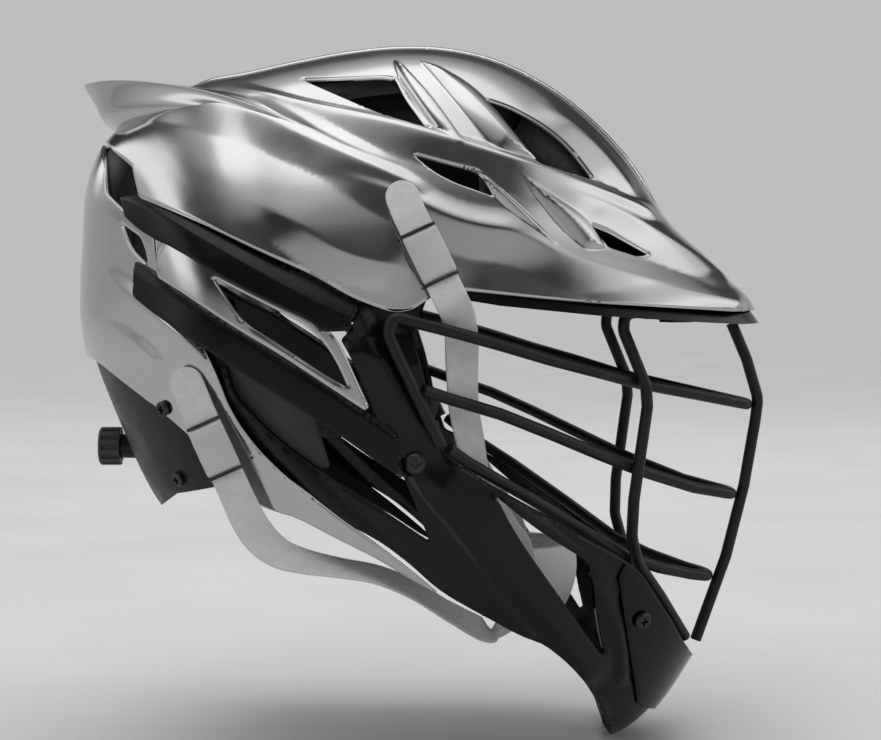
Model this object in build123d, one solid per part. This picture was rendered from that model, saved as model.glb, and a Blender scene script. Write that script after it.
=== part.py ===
from build123d import *
from math import atan2, cos, copysign, degrees, hypot, pi, radians, sin
import os

# Lacrosse helmet in millimetres. +X is the front, +Y the wearer's left, +Z up.
# The origin lies between the ears, where the ear-to-ear axis meets the centre plane.

# Overall sizes, from the tip of the fin to the mask and from the crown to the chin
HELMET_LENGTH = 340.0
HELMET_HEIGHT = 340.0
HALF_WIDTH = 108.0

# Walls, gaps and clearances
SHELL_WALL = 3.0
FRAME_WALL = 5.0
BAR_WALL = 4.0
PLATE_WALL = 2.0
PANEL_WALL = 2.5
FIT_GAP = 0.3
LAYER_GAP = 0.6
PAD_GAP = 0.8
SHAFT_GAP = 0.08
HOLE_GAP = 0.25
OVERRUN = 5.0
CUT_REACH = 160.0

# Depths below the outer surface, one layer inside the next
FRAME_TOP = SHELL_WALL + LAYER_GAP
FRAME_FLOOR = FRAME_TOP + FRAME_WALL
PANEL_TOP = FRAME_FLOOR + LAYER_GAP
PAD_TOP = SHELL_WALL + PAD_GAP
BROW_REACH = 105.0

# Padding
CROWN_PAD = 17.0
FRONT_PAD = 20.0
REAR_PAD = 18.0
SIDE_PAD = 14.0
JAW_PAD = 13.0
PAD_EDGE_SHARE = 0.62
FOREHEAD_SHARES = (0.235, 0.135)
PAD_CHANNEL = 5.0
PAD_CHANNEL_DEPTH = 3.0

# Face mask wire
WIRE_DIAMETER = 5.6
WIRE_BEND = 9.0
RAIL_BEND = 16.0
STRAIGHT_ANGLE = 1.3
ROOM_SHARE = 0.45

# Straps and their adjusters
STRAP_WIDTH = 16.0
STRAP_THICKNESS = 1.4
STUD_DIAMETER = 10.0
STUD_HEIGHT = 1.0
STUD_SHANK = 4.0
STUD_WASHER = 0.9
ADJUSTER_LENGTH = 25.0
ADJUSTER_WIDTH = 21.0
ADJUSTER_PLATE = 1.2
ADJUSTER_BAR = 2.2

# Fit dial and the bands that it draws in
DIAL_DIAMETER = 19.0
DIAL_LENGTH = 10.5
DIAL_FLUTE = 2.4
DIAL_FLUTES = 12
DIAL_CAP = 1.6
SHAFT_DIAMETER = 5.0
COLLAR_DIAMETER = 12.0
PINION_RADIUS = 5.0
PINION_TEETH = 12
TOOTH_DEPTH = 1.0
PINION_LENGTH = 5.0
HOUSING_DEPTH = 13.0
HOUSING_WIDTH = 46.0
HOUSING_HEIGHT = 27.0
HOUSING_WALL = 2.0
COVER_WALL = 1.5
RACK_THICKNESS = 2.6
RACK_HEIGHT = 4.0
RACK_TRAVEL = 8.0
NAPE_PAD = 7.0
NAPE_HEIGHT = 22.0
COVER_SCREW_Y = 16.0
RACK_MARGIN = 3.0

# Screws, nuts and plugs
SEAT_GAP = 0.5
SCREW_HEAD = 9.5
BOSS_DIAMETER = 12.5
BOSS_RISE = 1.4
SCREW_HEAD_HEIGHT = 2.6
SCREW_SHANK = 5.0
SCREW_RECESS = 1.3
RECESS_WIDTH = 1.2
NUT_DIAMETER = 9.0
NUT_HEIGHT = 3.0
PLUG_HEAD = 8.5
SMALL_HEAD = 7.0
SMALL_HEAD_HEIGHT = 2.0
SMALL_SHANK = 3.2

# Clips that hold the mask
CLIP_WALL = 2.4
CLIP_LENGTH = 12.0
CLIP_TAIL = 13.0

# Chin cup
CUP_WALL = 2.6
CUP_PAD = 6.0

# The outer surface: distance from the ear axis in the centre plane, by angle from the front
RADIUS_SHARES = [
    (-70, 0.624), (-60, 0.691), (-51, 0.741), (-39, 0.725), (-20, 0.694), (-8, 0.671),
    (3.9, 0.654), (9.5, 0.602), (18, 0.552), (30.1, 0.530), (39.1, 0.515), (47, 0.501),
    (56.3, 0.482), (65, 0.459), (72, 0.439), (81.4, 0.415), (91.7, 0.397), (102.6, 0.390),
    (113.5, 0.399), (125, 0.404), (136, 0.405), (144.4, 0.388), (156.2, 0.354),
    (165.9, 0.338), (174.8, 0.329), (183.7, 0.321), (198, 0.310), (214, 0.315), (229, 0.335),
    (250, 0.400), (270, 0.506), (290, 0.624)]
ROUNDNESS_SHARE = 0.92
STATION_TURNS = [5, 9, 14, 21, 31, 45, 65, 90, 115, 135, 149, 159, 166, 171, 175]
PATCH_SHARE = 0.02
PATCH_STATIONS = 12
ANGLE_MARGIN = 3.0

# Side outlines as shares of the length and the height
FRONT_SHELL_SHARES = [
    (0.700, 0.042), (0.618, 0.037), (0.554, 0.042), (0.481, 0.047), (0.410, 0.051),
    (0.342, 0.057), (0.274, 0.064), (0.207, 0.071), (0.182, 0.059), (0.157, 0.042),
    (0.133, 0.040), (0.112, 0.047), (0.078, 0.060), (0.029, 0.089), (-0.056, 0.126),
    (-0.143, 0.168), (-0.216, 0.196), (-0.230, 0.240), (-0.261, 0.263), (-0.290, 0.283),
    (-0.360, 0.315), (-0.400, 0.500), (0.750, 0.500), (0.750, 0.042)]
TOP_REAR_VENT_SHARES = [
    (0.001, 0.363), (0.056, 0.363), (0.118, 0.365), (0.135, 0.362), (0.147, 0.335),
    (0.182, 0.284), (0.133, 0.301), (0.057, 0.335)]
TOP_FRONT_VENT_SHARES = [
    (0.258, 0.333), (0.291, 0.323), (0.333, 0.301), (0.374, 0.269), (0.410, 0.221),
    (0.331, 0.241), (0.304, 0.274)]
MIDDLE_VENT_SHARES = [(0.158, 0.251), (0.208, 0.237), (0.245, 0.228), (0.268, 0.196), (0.201, 0.219)]
LOW_VENT_SHARES = [(0.401, 0.158), (0.428, 0.148), (0.485, 0.118), (0.470, 0.115), (0.427, 0.128)]
VENTS = (TOP_REAR_VENT_SHARES, TOP_FRONT_VENT_SHARES, MIDDLE_VENT_SHARES, LOW_VENT_SHARES)
REAR_SHELL_SHARES = [
    (-0.400, 0.318), (-0.290, 0.278), (-0.275, 0.250), (-0.268, 0.204), (-0.239, 0.180),
    (-0.206, 0.154), (-0.189, 0.146), (-0.182, 0.084), (-0.192, 0.088), (-0.200, 0.080),
    (-0.176, 0.042), (-0.153, 0.021), (-0.128, 0.006), (-0.107, -0.032), (-0.088, -0.085),
    (-0.073, -0.111), (-0.050, -0.141), (-0.018, -0.173), (0.048, -0.227), (0.114, -0.276),
    (0.159, -0.312), (0.194, -0.343), (0.159, -0.325), (0.114, -0.295), (0.047, -0.261),
    (0.003, -0.237), (-0.035, -0.227), (-0.075, -0.209), (-0.108, -0.173),
    (-0.138, -0.134), (-0.166, -0.110), (-0.202, -0.084), (-0.241, -0.059),
    (-0.290, -0.028), (-0.400, -0.020)]
STRUT_OPENING_SHARES = [(-0.240, 0.160), (-0.212, 0.142), (-0.203, 0.122), (-0.200, 0.104), (-0.226, 0.126)]
SIDE_LOOP_SHARES = [
    (-0.188, 0.1455), (-0.152, 0.129), (-0.108, 0.103), (-0.065, 0.080), (-0.022, 0.059),
    (0.020, 0.038), (0.041, 0.023), (0.057, 0.006), (0.068, -0.012), (0.082, -0.044),
    (0.100, -0.084), (0.096, -0.090), (0.049, -0.059), (-0.023, -0.011), (-0.069, 0.015),
    (-0.152, 0.068), (-0.181, 0.0835)]
LOOP_OPENING_SHARES = [
    (-0.106, 0.086), (-0.063, 0.064), (-0.023, 0.044), (0.016, 0.024), (0.044, -0.003),
    (0.060, -0.030), (0.073, -0.060), (0.049, -0.047), (-0.023, 0.001), (-0.066, 0.027)]
UPPER_RAIL_SHARES = [
    (-0.246, 0.198), (-0.216, 0.207), (-0.143, 0.180), (-0.056, 0.138), (0.029, 0.101),
    (0.078, 0.072), (0.096, 0.063), (0.072, 0.015), (0.041, 0.014), (0.020, 0.029),
    (-0.022, 0.049), (-0.065, 0.070), (-0.108, 0.093), (-0.152, 0.119), (-0.206, 0.146),
    (-0.235, 0.168)]
LOWER_RAIL_SHARES = [
    (-0.216, 0.108), (-0.192, 0.098), (-0.152, 0.069), (-0.069, 0.016), (-0.023, -0.010),
    (0.049, -0.058), (0.117, -0.105), (0.137, -0.121), (0.137, -0.173), (0.121, -0.163),
    (0.062, -0.120), (-0.004, -0.076), (-0.070, -0.034), (-0.127, 0.003), (-0.180, 0.036),
    (-0.210, 0.058)]
JAW_SHARES = [
    (0.101, 0.066), (0.185, 0.080), (0.175, 0.045), (0.160, 0.010), (0.180, -0.070),
    (0.190, -0.120), (0.203, -0.158), (0.234, -0.173), (0.262, -0.192), (0.315, -0.223),
    (0.356, -0.246), (0.412, -0.281), (0.440, -0.297), (0.470, -0.317), (0.501, -0.363),
    (0.553, -0.453), (0.600, -0.520), (0.600, -0.620), (0.455, -0.620), (0.419, -0.507),
    (0.359, -0.428), (0.276, -0.386), (0.194, -0.338), (0.159, -0.306), (0.114, -0.270),
    (0.048, -0.234), (0.016, -0.210), (-0.017, -0.184), (-0.049, -0.155), (-0.074, -0.125),
    (-0.092, -0.090), (-0.110, -0.045), (-0.098, -0.033), (-0.078, -0.080),
    (-0.055, -0.102), (-0.033, -0.124), (0.000, -0.152), (0.062, -0.196), (0.147, -0.250),
    (0.183, -0.272), (0.165, -0.225), (0.140, -0.165), (0.121, -0.124), (0.108, -0.115),
    (0.107, -0.088), (0.088, -0.046), (0.074, -0.014), (0.064, 0.003), (0.076, 0.015)]
JAW_OPENING_SHARES = [
    (0.268, -0.206), (0.325, -0.254), (0.398, -0.302), (0.407, -0.340), (0.424, -0.436),
    (0.416, -0.436), (0.357, -0.348), (0.302, -0.268)]
CHIN_PLATE_SHARES = [
    (0.437, -0.322), (0.446, -0.303), (0.501, -0.366), (0.553, -0.457), (0.620, -0.530),
    (0.560, -0.600), (0.500, -0.534), (0.474, -0.522), (0.449, -0.395)]
BROW_SHARES = [
    (0.700, 0.052), (0.655, 0.049), (0.554, 0.054), (0.410, 0.063), (0.274, 0.076),
    (0.232, 0.080), (0.232, 0.055), (0.274, 0.048), (0.410, 0.034), (0.481, 0.029),
    (0.554, 0.024), (0.618, 0.020), (0.700, 0.020)]
BROW_FLOOR_SHARES = [
    (0.700, 0.052), (0.560, 0.052), (0.400, 0.058), (0.330, 0.063), (0.330, 0.070),
    (0.400, 0.065), (0.560, 0.059), (0.700, 0.059)]
EAR_PANEL_SHARES = [
    (-0.150, 0.060), (-0.085, 0.030), (0.030, -0.045), (0.060, -0.075), (0.030, -0.110),
    (0.050, -0.178), (0.010, -0.182), (-0.045, -0.150), (-0.078, -0.115), (-0.110, -0.060)]
CARRIER_SHARES = [
    (-0.380, 0.000), (-0.300, 0.000), (-0.241, -0.036), (-0.202, -0.062),
    (-0.166, -0.088), (-0.134, -0.120), (-0.100, -0.155), (-0.088, -0.176),
    (-0.109, -0.198), (-0.170, -0.213), (-0.205, -0.240), (-0.300, -0.320), (-0.400, -0.220)]

# How far the jaw guard lies below the outer surface, as shares of the frame's depth
JAW_DEPTH_SHARES = [(195, 1), (290, 1), (297, 1), (306, 0), (350, 0), (365, 1), (385, 1)]

# Fin round the back: root and tip as shares of length, half width and height
FIN_SHARES = [
    ((-0.266, 0.0, 0.340), (-0.326, 0.0, 0.364), (-0.205, 0.0, 0.366)),
    ((-0.245, 0.20, 0.338), (-0.290, 0.20, 0.368), (-0.188, 0.20, 0.362)),
    ((-0.187, 0.33, 0.336), (-0.228, 0.35, 0.364), (-0.160, 0.31, 0.352)),
    ((-0.117, 0.53, 0.325), (-0.140, 0.52, 0.350), (-0.095, 0.47, 0.345)),
    ((-0.051, 0.66, 0.304), (-0.064, 0.63, 0.326), (-0.040, 0.58, 0.330)),
    ((0.005, 0.75, 0.281), (-0.004, 0.73, 0.300), (0.012, 0.68, 0.305))]

# Spine along the crown: angle range and raised height
SPINE_HALF_WIDTH = 8.0
SPINE_RISE = 1.2
SPINE_ANGLES = (20.0, 112.0)

# Run of the eye wire that the mask clips hold
CLIP_RUN = (2, 1)

# Mask wires: shares of length, half width and height, on the wearer's right
SIDE_WIRE_SHARES = [
    (0.196, -0.994, -0.138), (0.160, -1.012, -0.062), (0.140, -1.022, -0.020),
    (0.125, -1.024, 0.014), (0.133, -1.020, 0.034), (0.160, -1.006, 0.027)]
TOP_BAR_SHARES = [
    (0.207, -0.978, 0.015), (0.274, -0.900, -0.004), (0.342, -0.790, -0.025),
    (0.414, -0.630, -0.045), (0.474, -0.430, -0.063), (0.572, -0.200, -0.084), (0.6445, -0.055, -0.0995)]
MIDDLE_BAR_SHARES = [
    (0.173, -1.012, -0.063), (0.207, -0.966, -0.075), (0.275, -0.875, -0.097),
    (0.343, -0.755, -0.126), (0.415, -0.590, -0.159), (0.475, -0.410, -0.186),
    (0.560, -0.200, -0.217), (0.622, -0.060, -0.231)]
LOW_BAR_SHARES = [
    (0.206, -0.972, -0.141), (0.231, -0.915, -0.161), (0.312, -0.780, -0.211),
    (0.395, -0.590, -0.266), (0.463, -0.355, -0.312), (0.509, -0.250, -0.331),
    (0.560, -0.120, -0.346), (0.588, -0.050, -0.352)]
EYE_WIRE_SHARES = [
    (0.622, 0.0, 0.026), (0.566, -0.270, 0.034), (0.490, -0.440, 0.042),
    (0.452, -0.490, 0.034), (0.450, -0.490, 0.012), (0.482, -0.490, -0.066),
    (0.484, -0.490, -0.095), (0.466, -0.480, -0.225), (0.464, -0.455, -0.278),
    (0.474, -0.400, -0.318), (0.512, -0.265, -0.373), (0.553, -0.080, -0.440)]
CENTRE_WIRE_SHARES = [
    (0.6225, 0.0, 0.0187), (0.645, 0.0, -0.034), (0.662, 0.0, -0.092), (0.658, 0.0, -0.125),
    (0.642, 0.0, -0.220), (0.616, 0.0, -0.325), (0.572, 0.0, -0.449)]

# Straps on the wearer's right: shares of length, height and half width, then the twist
FRONT_STRAP_SHARES = [
    (0.145, 0.192, 0.926, 12), (0.153, 0.171, 0.944, 12), (0.207, 0.060, 0.978, 12),
    (0.222, 0.016, 0.905, 16), (0.225, -0.076, 0.880, 28), (0.234, -0.131, 0.858, 34),
    (0.248, -0.200, 0.790, 38), (0.283, -0.262, 0.610, 30), (0.303, -0.296, 0.420, 24),
    (0.309, -0.325, 0.383, 20)]
REAR_STRAP_SHARES = [
    (-0.142, -0.056, 0.934, -12), (-0.128, -0.090, 0.944, -12), (-0.082, -0.192, 0.944, -12),
    (-0.055, -0.248, 0.938, 8), (-0.026, -0.279, 0.915, 34), (0.010, -0.294, 0.885, 52),
    (0.061, -0.306, 0.835, 64), (0.110, -0.318, 0.780, 66), (0.160, -0.342, 0.720, 66),
    (0.208, -0.376, 0.640, 66), (0.258, -0.408, 0.490, 55), (0.284, -0.400, 0.425, 36),
    (0.302, -0.380, 0.382, 20)]
STRAP_FLAT_START = 1

# Chin cup: height, rear, front and half width of each level, as shares
CUP_LEVEL_SHARES = [
    (-0.408, 0.285, 0.372, 0.315), (-0.372, 0.262, 0.392, 0.375), (-0.335, 0.252, 0.398, 0.400),
    (-0.300, 0.250, 0.392, 0.395)]

# Screw and stud places as shares of length and height
JAW_SCREW_SHARES = (0.161, -0.160)
CHIN_SCREW_SHARES = (0.470, -0.386)
FRONT_STUD_SHARES = (0.148, 0.190)
REAR_STUD_SHARES = (-0.139, -0.066)
FRAME_SCREW_SHARES = [(-0.120, 0.163), (0.060, 0.078)]
COLUMN_SCREW_SHARES = (0.165, 0.066)
CARRIER_SCREW_SHARES = (-0.178, -0.0905)
NAPE_SCREW_SHARES = (-0.163, -0.190)

# Centre of the dial as a share of the height, and where its parts end along X
DIAL_HEIGHT_SHARE = -0.162
DIAL_FRONT_SHARE = -0.306
HOUSING_BACK_SHARE = -0.2225
ARM_SHARES = [(-0.190, 0.46), (-0.160, 0.61)]


def radius(angle):
    """Distance of the outer surface from the ear axis in the centre plane, as a share."""
    low = RADIUS_SHARES[0][0]
    a = (angle - low) % 360 + low
    table = RADIUS_SHARES
    i = max(k for k in range(len(table) - 1) if table[k][0] <= a)
    a0, r0 = table[i]
    a1, r1 = table[i + 1]
    before = table[i - 1] if i else (table[-2][0] - 360, table[-2][1])
    after = table[i + 2] if i + 2 < len(table) else (table[1][0] + 360, table[1][1])
    slope0 = (r1 - before[1]) / (a1 - before[0])
    slope1 = (after[1] - r0) / (after[0] - a0)
    span = a1 - a0
    t = (a - a0) / span
    start = r0 * (2 * t**3 - 3 * t**2 + 1) + slope0 * span * (t**3 - 2 * t**2 + t)
    end = r1 * (3 * t**2 - 2 * t**3) + slope1 * span * (t**3 - t**2)
    return start + end


def rim(angle):
    """The centre-plane point of the outer surface at an angle."""
    share = radius(angle)
    return HELMET_LENGTH * share * cos(radians(angle)), HELMET_HEIGHT * share * sin(radians(angle))


def surface(angle, turn, depth):
    """Point below the outer surface; turn runs 0 to 180 degrees from right ear to left ear."""
    x, z = rim(angle)
    scale = 1 - depth / hypot(x, z)
    s, c = sin(radians(turn)), cos(radians(turn))
    rho = abs(s) ** ROUNDNESS_SHARE
    y = -(HALF_WIDTH - depth) * copysign(abs(c) ** ROUNDNESS_SHARE, c)
    return (x * scale * rho, y, z * scale * rho)


def side_y(x, z, depth):
    """Half width of the surface at a side-view place."""
    angle = degrees(atan2(z / HELMET_HEIGHT, x / HELMET_LENGTH))
    rx, rz = rim(angle)
    rho = hypot(x, z) / (hypot(rx, rz) - depth)
    return (HALF_WIDTH - depth) * max(0, 1 - rho ** (2 / ROUNDNESS_SHARE)) ** (ROUNDNESS_SHARE / 2)


def place(shares):
    """Side-view place in millimetres."""
    return HELMET_LENGTH * shares[0], HELMET_HEIGHT * shares[1]


def spot(shares):
    """Space point from shares of length, half width and height."""
    return Vector(HELMET_LENGTH * shares[0], HALF_WIDTH * shares[1], HELMET_HEIGHT * shares[2])


def lookup(table, angle):
    """Linear value of an angle table."""
    for (a0, v0), (a1, v1) in zip(table, table[1:]):
        if a0 <= angle <= a1:
            return v0 + (v1 - v0) * (angle - a0) / (a1 - a0)
    return table[-1][1] if angle > table[-1][0] else table[0][1]


def outline(far, near, steps):
    """Closed section between two curves; all sections of a loft share the same steps."""
    span = steps[-1] - steps[0]
    ahead = [(t - steps[0]) / span for t in steps]
    back = [1 - t for t in reversed(ahead)]
    near = list(reversed(near))
    return Wire([
        Edge.make_spline(far, parameters=ahead), Line(far[-1], near[0]),
        Edge.make_spline(near, parameters=back), Line(near[-1], far[0])])


def ring(angle, turns, outer, inner):
    """Closed section across the helmet at one angle, between two depths."""
    top = [surface(angle, t, outer(angle, t)) for t in turns]
    low = [surface(angle, t, inner(angle, t)) for t in turns]
    return outline(top, low, turns)


def band_angles(first, last):
    """Angles of the sections: where the outline of the surface has its own points."""
    inside = [a + lap for lap in (0, 360) for a, r in RADIUS_SHARES[1:]]
    kept = sorted(a for a in inside if first + ANGLE_MARGIN < a < last - ANGLE_MARGIN)
    return [first] + kept + [last]


def band(first, last, outer, inner, turns=STATION_TURNS):
    """Curved layer of the helmet between two angles and two depths."""
    above = outer if callable(outer) else (lambda a, t: outer)
    below = inner if callable(inner) else (lambda a, t: inner)
    return Solid.make_loft([ring(a, turns, above, below) for a in band_angles(first, last)])


def even(low, high, count):
    """Evenly spaced values, both ends included."""
    return [low + (high - low) * i / (count - 1) for i in range(count)]


def patch(shares, outer, inner):
    """Curved layer of the left side over an outline, between two depths."""
    xs = [HELMET_LENGTH * x for x, z in shares]
    zs = [HELMET_HEIGHT * z for x, z in shares]
    edge = HELMET_LENGTH * PATCH_SHARE
    across = even(min(xs) - edge, max(xs) + edge, PATCH_STATIONS)
    up = even(min(zs) - edge, max(zs) + edge, PATCH_STATIONS)

    def section(x):
        far = [(x, side_y(x, z, outer), z) for z in up]
        near = [(x, side_y(x, z, inner), z) for z in up]
        return outline(far, near, up)
    return Solid.make_loft([section(x) for x in across]) & prism(shares, False)


def prism(shares, both=True):
    """Side outline drawn through the whole width, or through the left half."""
    face = Plane.XZ * make_face(Polyline(*[place(p) for p in shares], close=True))
    if both:
        return extrude(face, amount=CUT_REACH, both=True)
    return extrude(face, amount=-CUT_REACH)


def other_side(shape):
    return mirror(shape, about=Plane.XZ)


def facing(shares, depth, side=1):
    """Plane on the surface at a side-view place, its normal pointing outward."""
    x, z = place(shares)
    y = side_y(x, z, depth)
    step = SHELL_WALL
    slope_x = (side_y(x + step, z, depth) - side_y(x - step, z, depth)) / (2 * step)
    slope_z = (side_y(x, z + step, depth) - side_y(x, z - step, depth)) / (2 * step)
    return Plane(origin=(x, side * y, z), x_dir=(1, side * slope_x, 0), z_dir=(-slope_x, side, -slope_z))


def rod(plane, low, high, diameter):
    """Round bar along a plane's normal between two heights."""
    base = plane.offset(low)
    return extrude(base * Circle(diameter / 2), amount=high - low)


def bends(points):
    """The points without those where the path runs almost straight on."""
    kept = [points[0]]
    for corner, after in zip(points[1:], points[2:]):
        if (corner - kept[-1]).get_angle(after - corner) > STRAIGHT_ANGLE:
            kept.append(corner)
    return kept + [points[-1]]


def bent_path(points, bend):
    """Straight runs joined by tangent arcs."""
    points = bends(points)
    edges = []
    last = points[0]
    for before, corner, after in zip(points, points[1:], points[2:]):
        back = (before - corner).normalized()
        ahead = (after - corner).normalized()
        half = radians(180 - back.get_angle(ahead)) / 2
        room = min((before - corner).length, (after - corner).length) * ROOM_SHARE
        reach = min(bend * sin(half) / cos(half), room)
        size = reach * cos(half) / sin(half)
        middle = (back + ahead).normalized()
        start = corner + back * reach
        end = corner + ahead * reach
        centre = corner + middle * (size / cos(half))
        top = centre - middle * size
        edges += [Line(last, start), ThreePointArc(start, top, end)]
        last = end
    return Wire(edges + [Line(last, points[-1])])


def wire(points, bend):
    """Round wire along a bent path."""
    path = bent_path(points, bend)
    start = Plane(origin=path @ 0, z_dir=path % 0)
    return sweep(start * Circle(WIRE_DIAMETER / 2), path=path, transition=Transition.ROUND)


def mirrored_points(shares):
    """Wire points on the right, carried across the centre plane to the left."""
    right = [spot(p) for p in shares]
    left = [Vector(p.X, -p.Y, p.Z) for p in reversed(right) if abs(p.Y) > FIT_GAP]
    return right + left


def screw(plane, head, head_height, shank, reach):
    """Screw with a cross recess, its head standing on the plane."""
    seat = SEAT_GAP
    crown = head_height / 3
    body = rod(plane, seat, seat + head_height - crown, head) + rod(plane, -reach, seat + crown, shank)
    top = plane.offset(seat + head_height - crown)
    body = body + extrude(top * Circle(head / 2), amount=crown, taper=45)
    face = plane.offset(seat + head_height - SCREW_RECESS)
    cross = Rectangle(head / 2, RECESS_WIDTH) + Rectangle(RECESS_WIDTH, head / 2)
    return body - extrude(face * cross, amount=2 * SCREW_RECESS)


def nut(plane, depth):
    """Round nut with its bore, pressed against an inner face."""
    body = rod(plane, -depth - FIT_GAP - NUT_HEIGHT, -depth - FIT_GAP, NUT_DIAMETER)
    return body - rod(plane, -depth - OVERRUN, -depth + OVERRUN, SCREW_SHANK + 2 * HOLE_GAP)


def fin():
    """Lip that flares off the back of the shell."""
    left = [[spot(p) for p in row] for row in reversed(FIN_SHARES)]
    right = [[Vector(p.X, -p.Y, p.Z) for p in row] for row in reversed(left[:-1])]
    return Solid.make_loft([Wire.make_polygon(row) for row in left + right])


def spine():
    """Raised band along the middle of the crown."""
    side = degrees(SPINE_HALF_WIDTH / HALF_WIDTH)
    low, high = SPINE_ANGLES
    return band(low, high, -SPINE_RISE, SHELL_WALL / 2, even(90 - side, 90 + side, 5))


def front_shell():
    """Polished crown and visor with its vents, spine and fin."""
    shell = band(-8, 165.9, 0, SHELL_WALL) & prism(FRONT_SHELL_SHARES)
    cuts = [prism(vent) for vent in VENTS]
    for side in (1, -1):
        cuts.append(stud_hole(FRONT_STUD_SHARES, side))
        cuts += [frame_hole(shares, side) for shares in FRAME_SCREW_SHARES + [COLUMN_SCREW_SHARES]]
    return shell - cuts + [spine(), fin()]


def rear_shell():
    """Polished back with its two tails under the jaw guard."""
    shell = band(125, 300, 0, SHELL_WALL) & prism(REAR_SHELL_SHARES)
    cuts = [prism(STRUT_OPENING_SHARES)]
    for side in (1, -1):
        cuts += [stud_hole(REAR_STUD_SHARES, side), carrier_hole(side)]
    return shell - cuts


def side_loop():
    """Polished open frame over the ear, left side."""
    return patch(SIDE_LOOP_SHARES, 0, SHELL_WALL) - prism(LOOP_OPENING_SHARES, False)


def upper_rail():
    """Black rail under the lower edge of the front shell, left side."""
    rail = patch(UPPER_RAIL_SHARES, FRAME_TOP, FRAME_FLOOR)
    return rail - [frame_hole(shares, 1) for shares in FRAME_SCREW_SHARES]


def lower_rail():
    """Black rail that stands proud of the side, left side."""
    return patch(LOWER_RAIL_SHARES, -PAD_GAP - BAR_WALL, -PAD_GAP)


def jaw_depth(angle, turn):
    return FRAME_TOP * lookup(JAW_DEPTH_SHARES, angle)


def jaw_floor(angle, turn):
    return jaw_depth(angle, turn) + FRAME_WALL


def jaw_guard():
    """Black guard round the jaw and chin with its temple columns."""
    jaw = band(183.7, 399.1, jaw_depth, jaw_floor) & prism(JAW_SHARES)
    for side in (1, -1):
        jaw = jaw + rod(facing(JAW_SCREW_SHARES, 0, side), -FRAME_WALL / 2, BOSS_RISE, BOSS_DIAMETER)
    cuts = [prism(JAW_OPENING_SHARES)]
    for side in (1, -1):
        cuts.append(screw_hole(JAW_SCREW_SHARES, side, FRAME_FLOOR))
        cuts.append(screw_hole(CHIN_SCREW_SHARES, side, FRAME_FLOOR))
        cuts.append(frame_hole(COLUMN_SCREW_SHARES, side))
    return jaw - cuts


def chin_plate():
    """Glossy cover on the front of the chin."""
    plate = band(290, 352, -LAYER_GAP - PLATE_WALL, -LAYER_GAP) & prism(CHIN_PLATE_SHARES)
    return plate - [screw_hole(CHIN_SCREW_SHARES, side, FRAME_FLOOR) for side in (1, -1)]


def brow_plate():
    """Black lip and floor under the visor."""
    lip = band(-8, 39.1, FRAME_TOP, FRAME_TOP + PLATE_WALL) & prism(BROW_SHARES)
    floor = band(-8, 39.1, FRAME_TOP, BROW_REACH) & prism(BROW_FLOOR_SHARES)
    return lip + floor - [clip_screw_hole(side) for side in (1, -1)]


def ear_panel():
    """Dark panel behind the ear, left side."""
    return patch(EAR_PANEL_SHARES, PANEL_TOP, PANEL_TOP + PANEL_WALL)


def pad(first, last, turn_from, turn_to, top, thickness):
    """Cushion with a crowned inner face and drawn-in edges."""
    def inner(a, t):
        u = 2 * (a - first) / (last - first) - 1
        v = 2 * (t - turn_from) / (turn_to - turn_from) - 1
        swell = (1 - u**4) * (1 - v**4)
        base = top(a, t) if callable(top) else top
        return base + thickness * (PAD_EDGE_SHARE + (1 - PAD_EDGE_SHARE) * swell)
    return band(first, last, top, inner, even(turn_from, turn_to, 11))


def channel(first, last, turn, depth, thickness):
    """Groove across a cushion's inner face."""
    half = degrees(PAD_CHANNEL / 2 / HALF_WIDTH)
    top = depth + thickness - PAD_CHANNEL_DEPTH
    return band(first, last, top, depth + thickness + OVERRUN, even(turn - half, turn + half, 3))


def liner_crown():
    body = pad(56.3, 113.5, 60, 120, PAD_TOP, CROWN_PAD)
    return body - [channel(47, 125, turn, PAD_TOP, CROWN_PAD) for turn in (78, 102)]


def forehead_depth(angle, turn):
    """The forehead pad leaves the shell and runs down behind the visor."""
    deep, middle = [HELMET_LENGTH * share for share in FOREHEAD_SHARES]
    return lookup([(14, deep), (34, middle), (52, PAD_TOP)], angle)


def liner_front():
    return pad(16, 53, 55, 125, forehead_depth, FRONT_PAD)


def liner_rear():
    body = pad(119, 174.8, 60, 120, PAD_TOP, REAR_PAD)
    return body - [channel(113.5, 183.7, turn, PAD_TOP, REAR_PAD) for turn in (78, 102)]


def liner_side():
    """Cushion above the ear, left side."""
    top = FRAME_FLOOR + SEAT_GAP + SMALL_HEAD_HEIGHT + FIT_GAP
    return pad(65, 144.4, 126, 153, top, SIDE_PAD)


def jaw_pad():
    """Cheek cushion inside the jaw guard, left side."""
    return pad(306, 332, 162, 173, FRAME_WALL + NUT_HEIGHT + FIT_GAP + LAYER_GAP, JAW_PAD)


def stud_hole(shares, side):
    plane = facing(shares, 0, side)
    return rod(plane, -SHELL_WALL - OVERRUN, OVERRUN, STUD_SHANK + 2 * HOLE_GAP)


def stud(shares, side):
    """Snap stud under a strap end, with its washer inside the shell."""
    plane = facing(shares, 0, side)
    head = rod(plane, FIT_GAP / 3, FIT_GAP / 3 + STUD_HEIGHT, STUD_DIAMETER)
    shank = rod(plane, -SHELL_WALL - FIT_GAP - STUD_WASHER, STUD_HEIGHT / 2, STUD_SHANK)
    washer_top = -SHELL_WALL - FIT_GAP
    return head + shank + rod(plane, washer_top - STUD_WASHER, washer_top, STUD_DIAMETER - STUD_HEIGHT)


def screw_hole(shares, side, depth):
    plane = facing(shares, 0, side)
    return rod(plane, -depth - OVERRUN, OVERRUN, SCREW_SHANK + 2 * HOLE_GAP)


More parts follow.
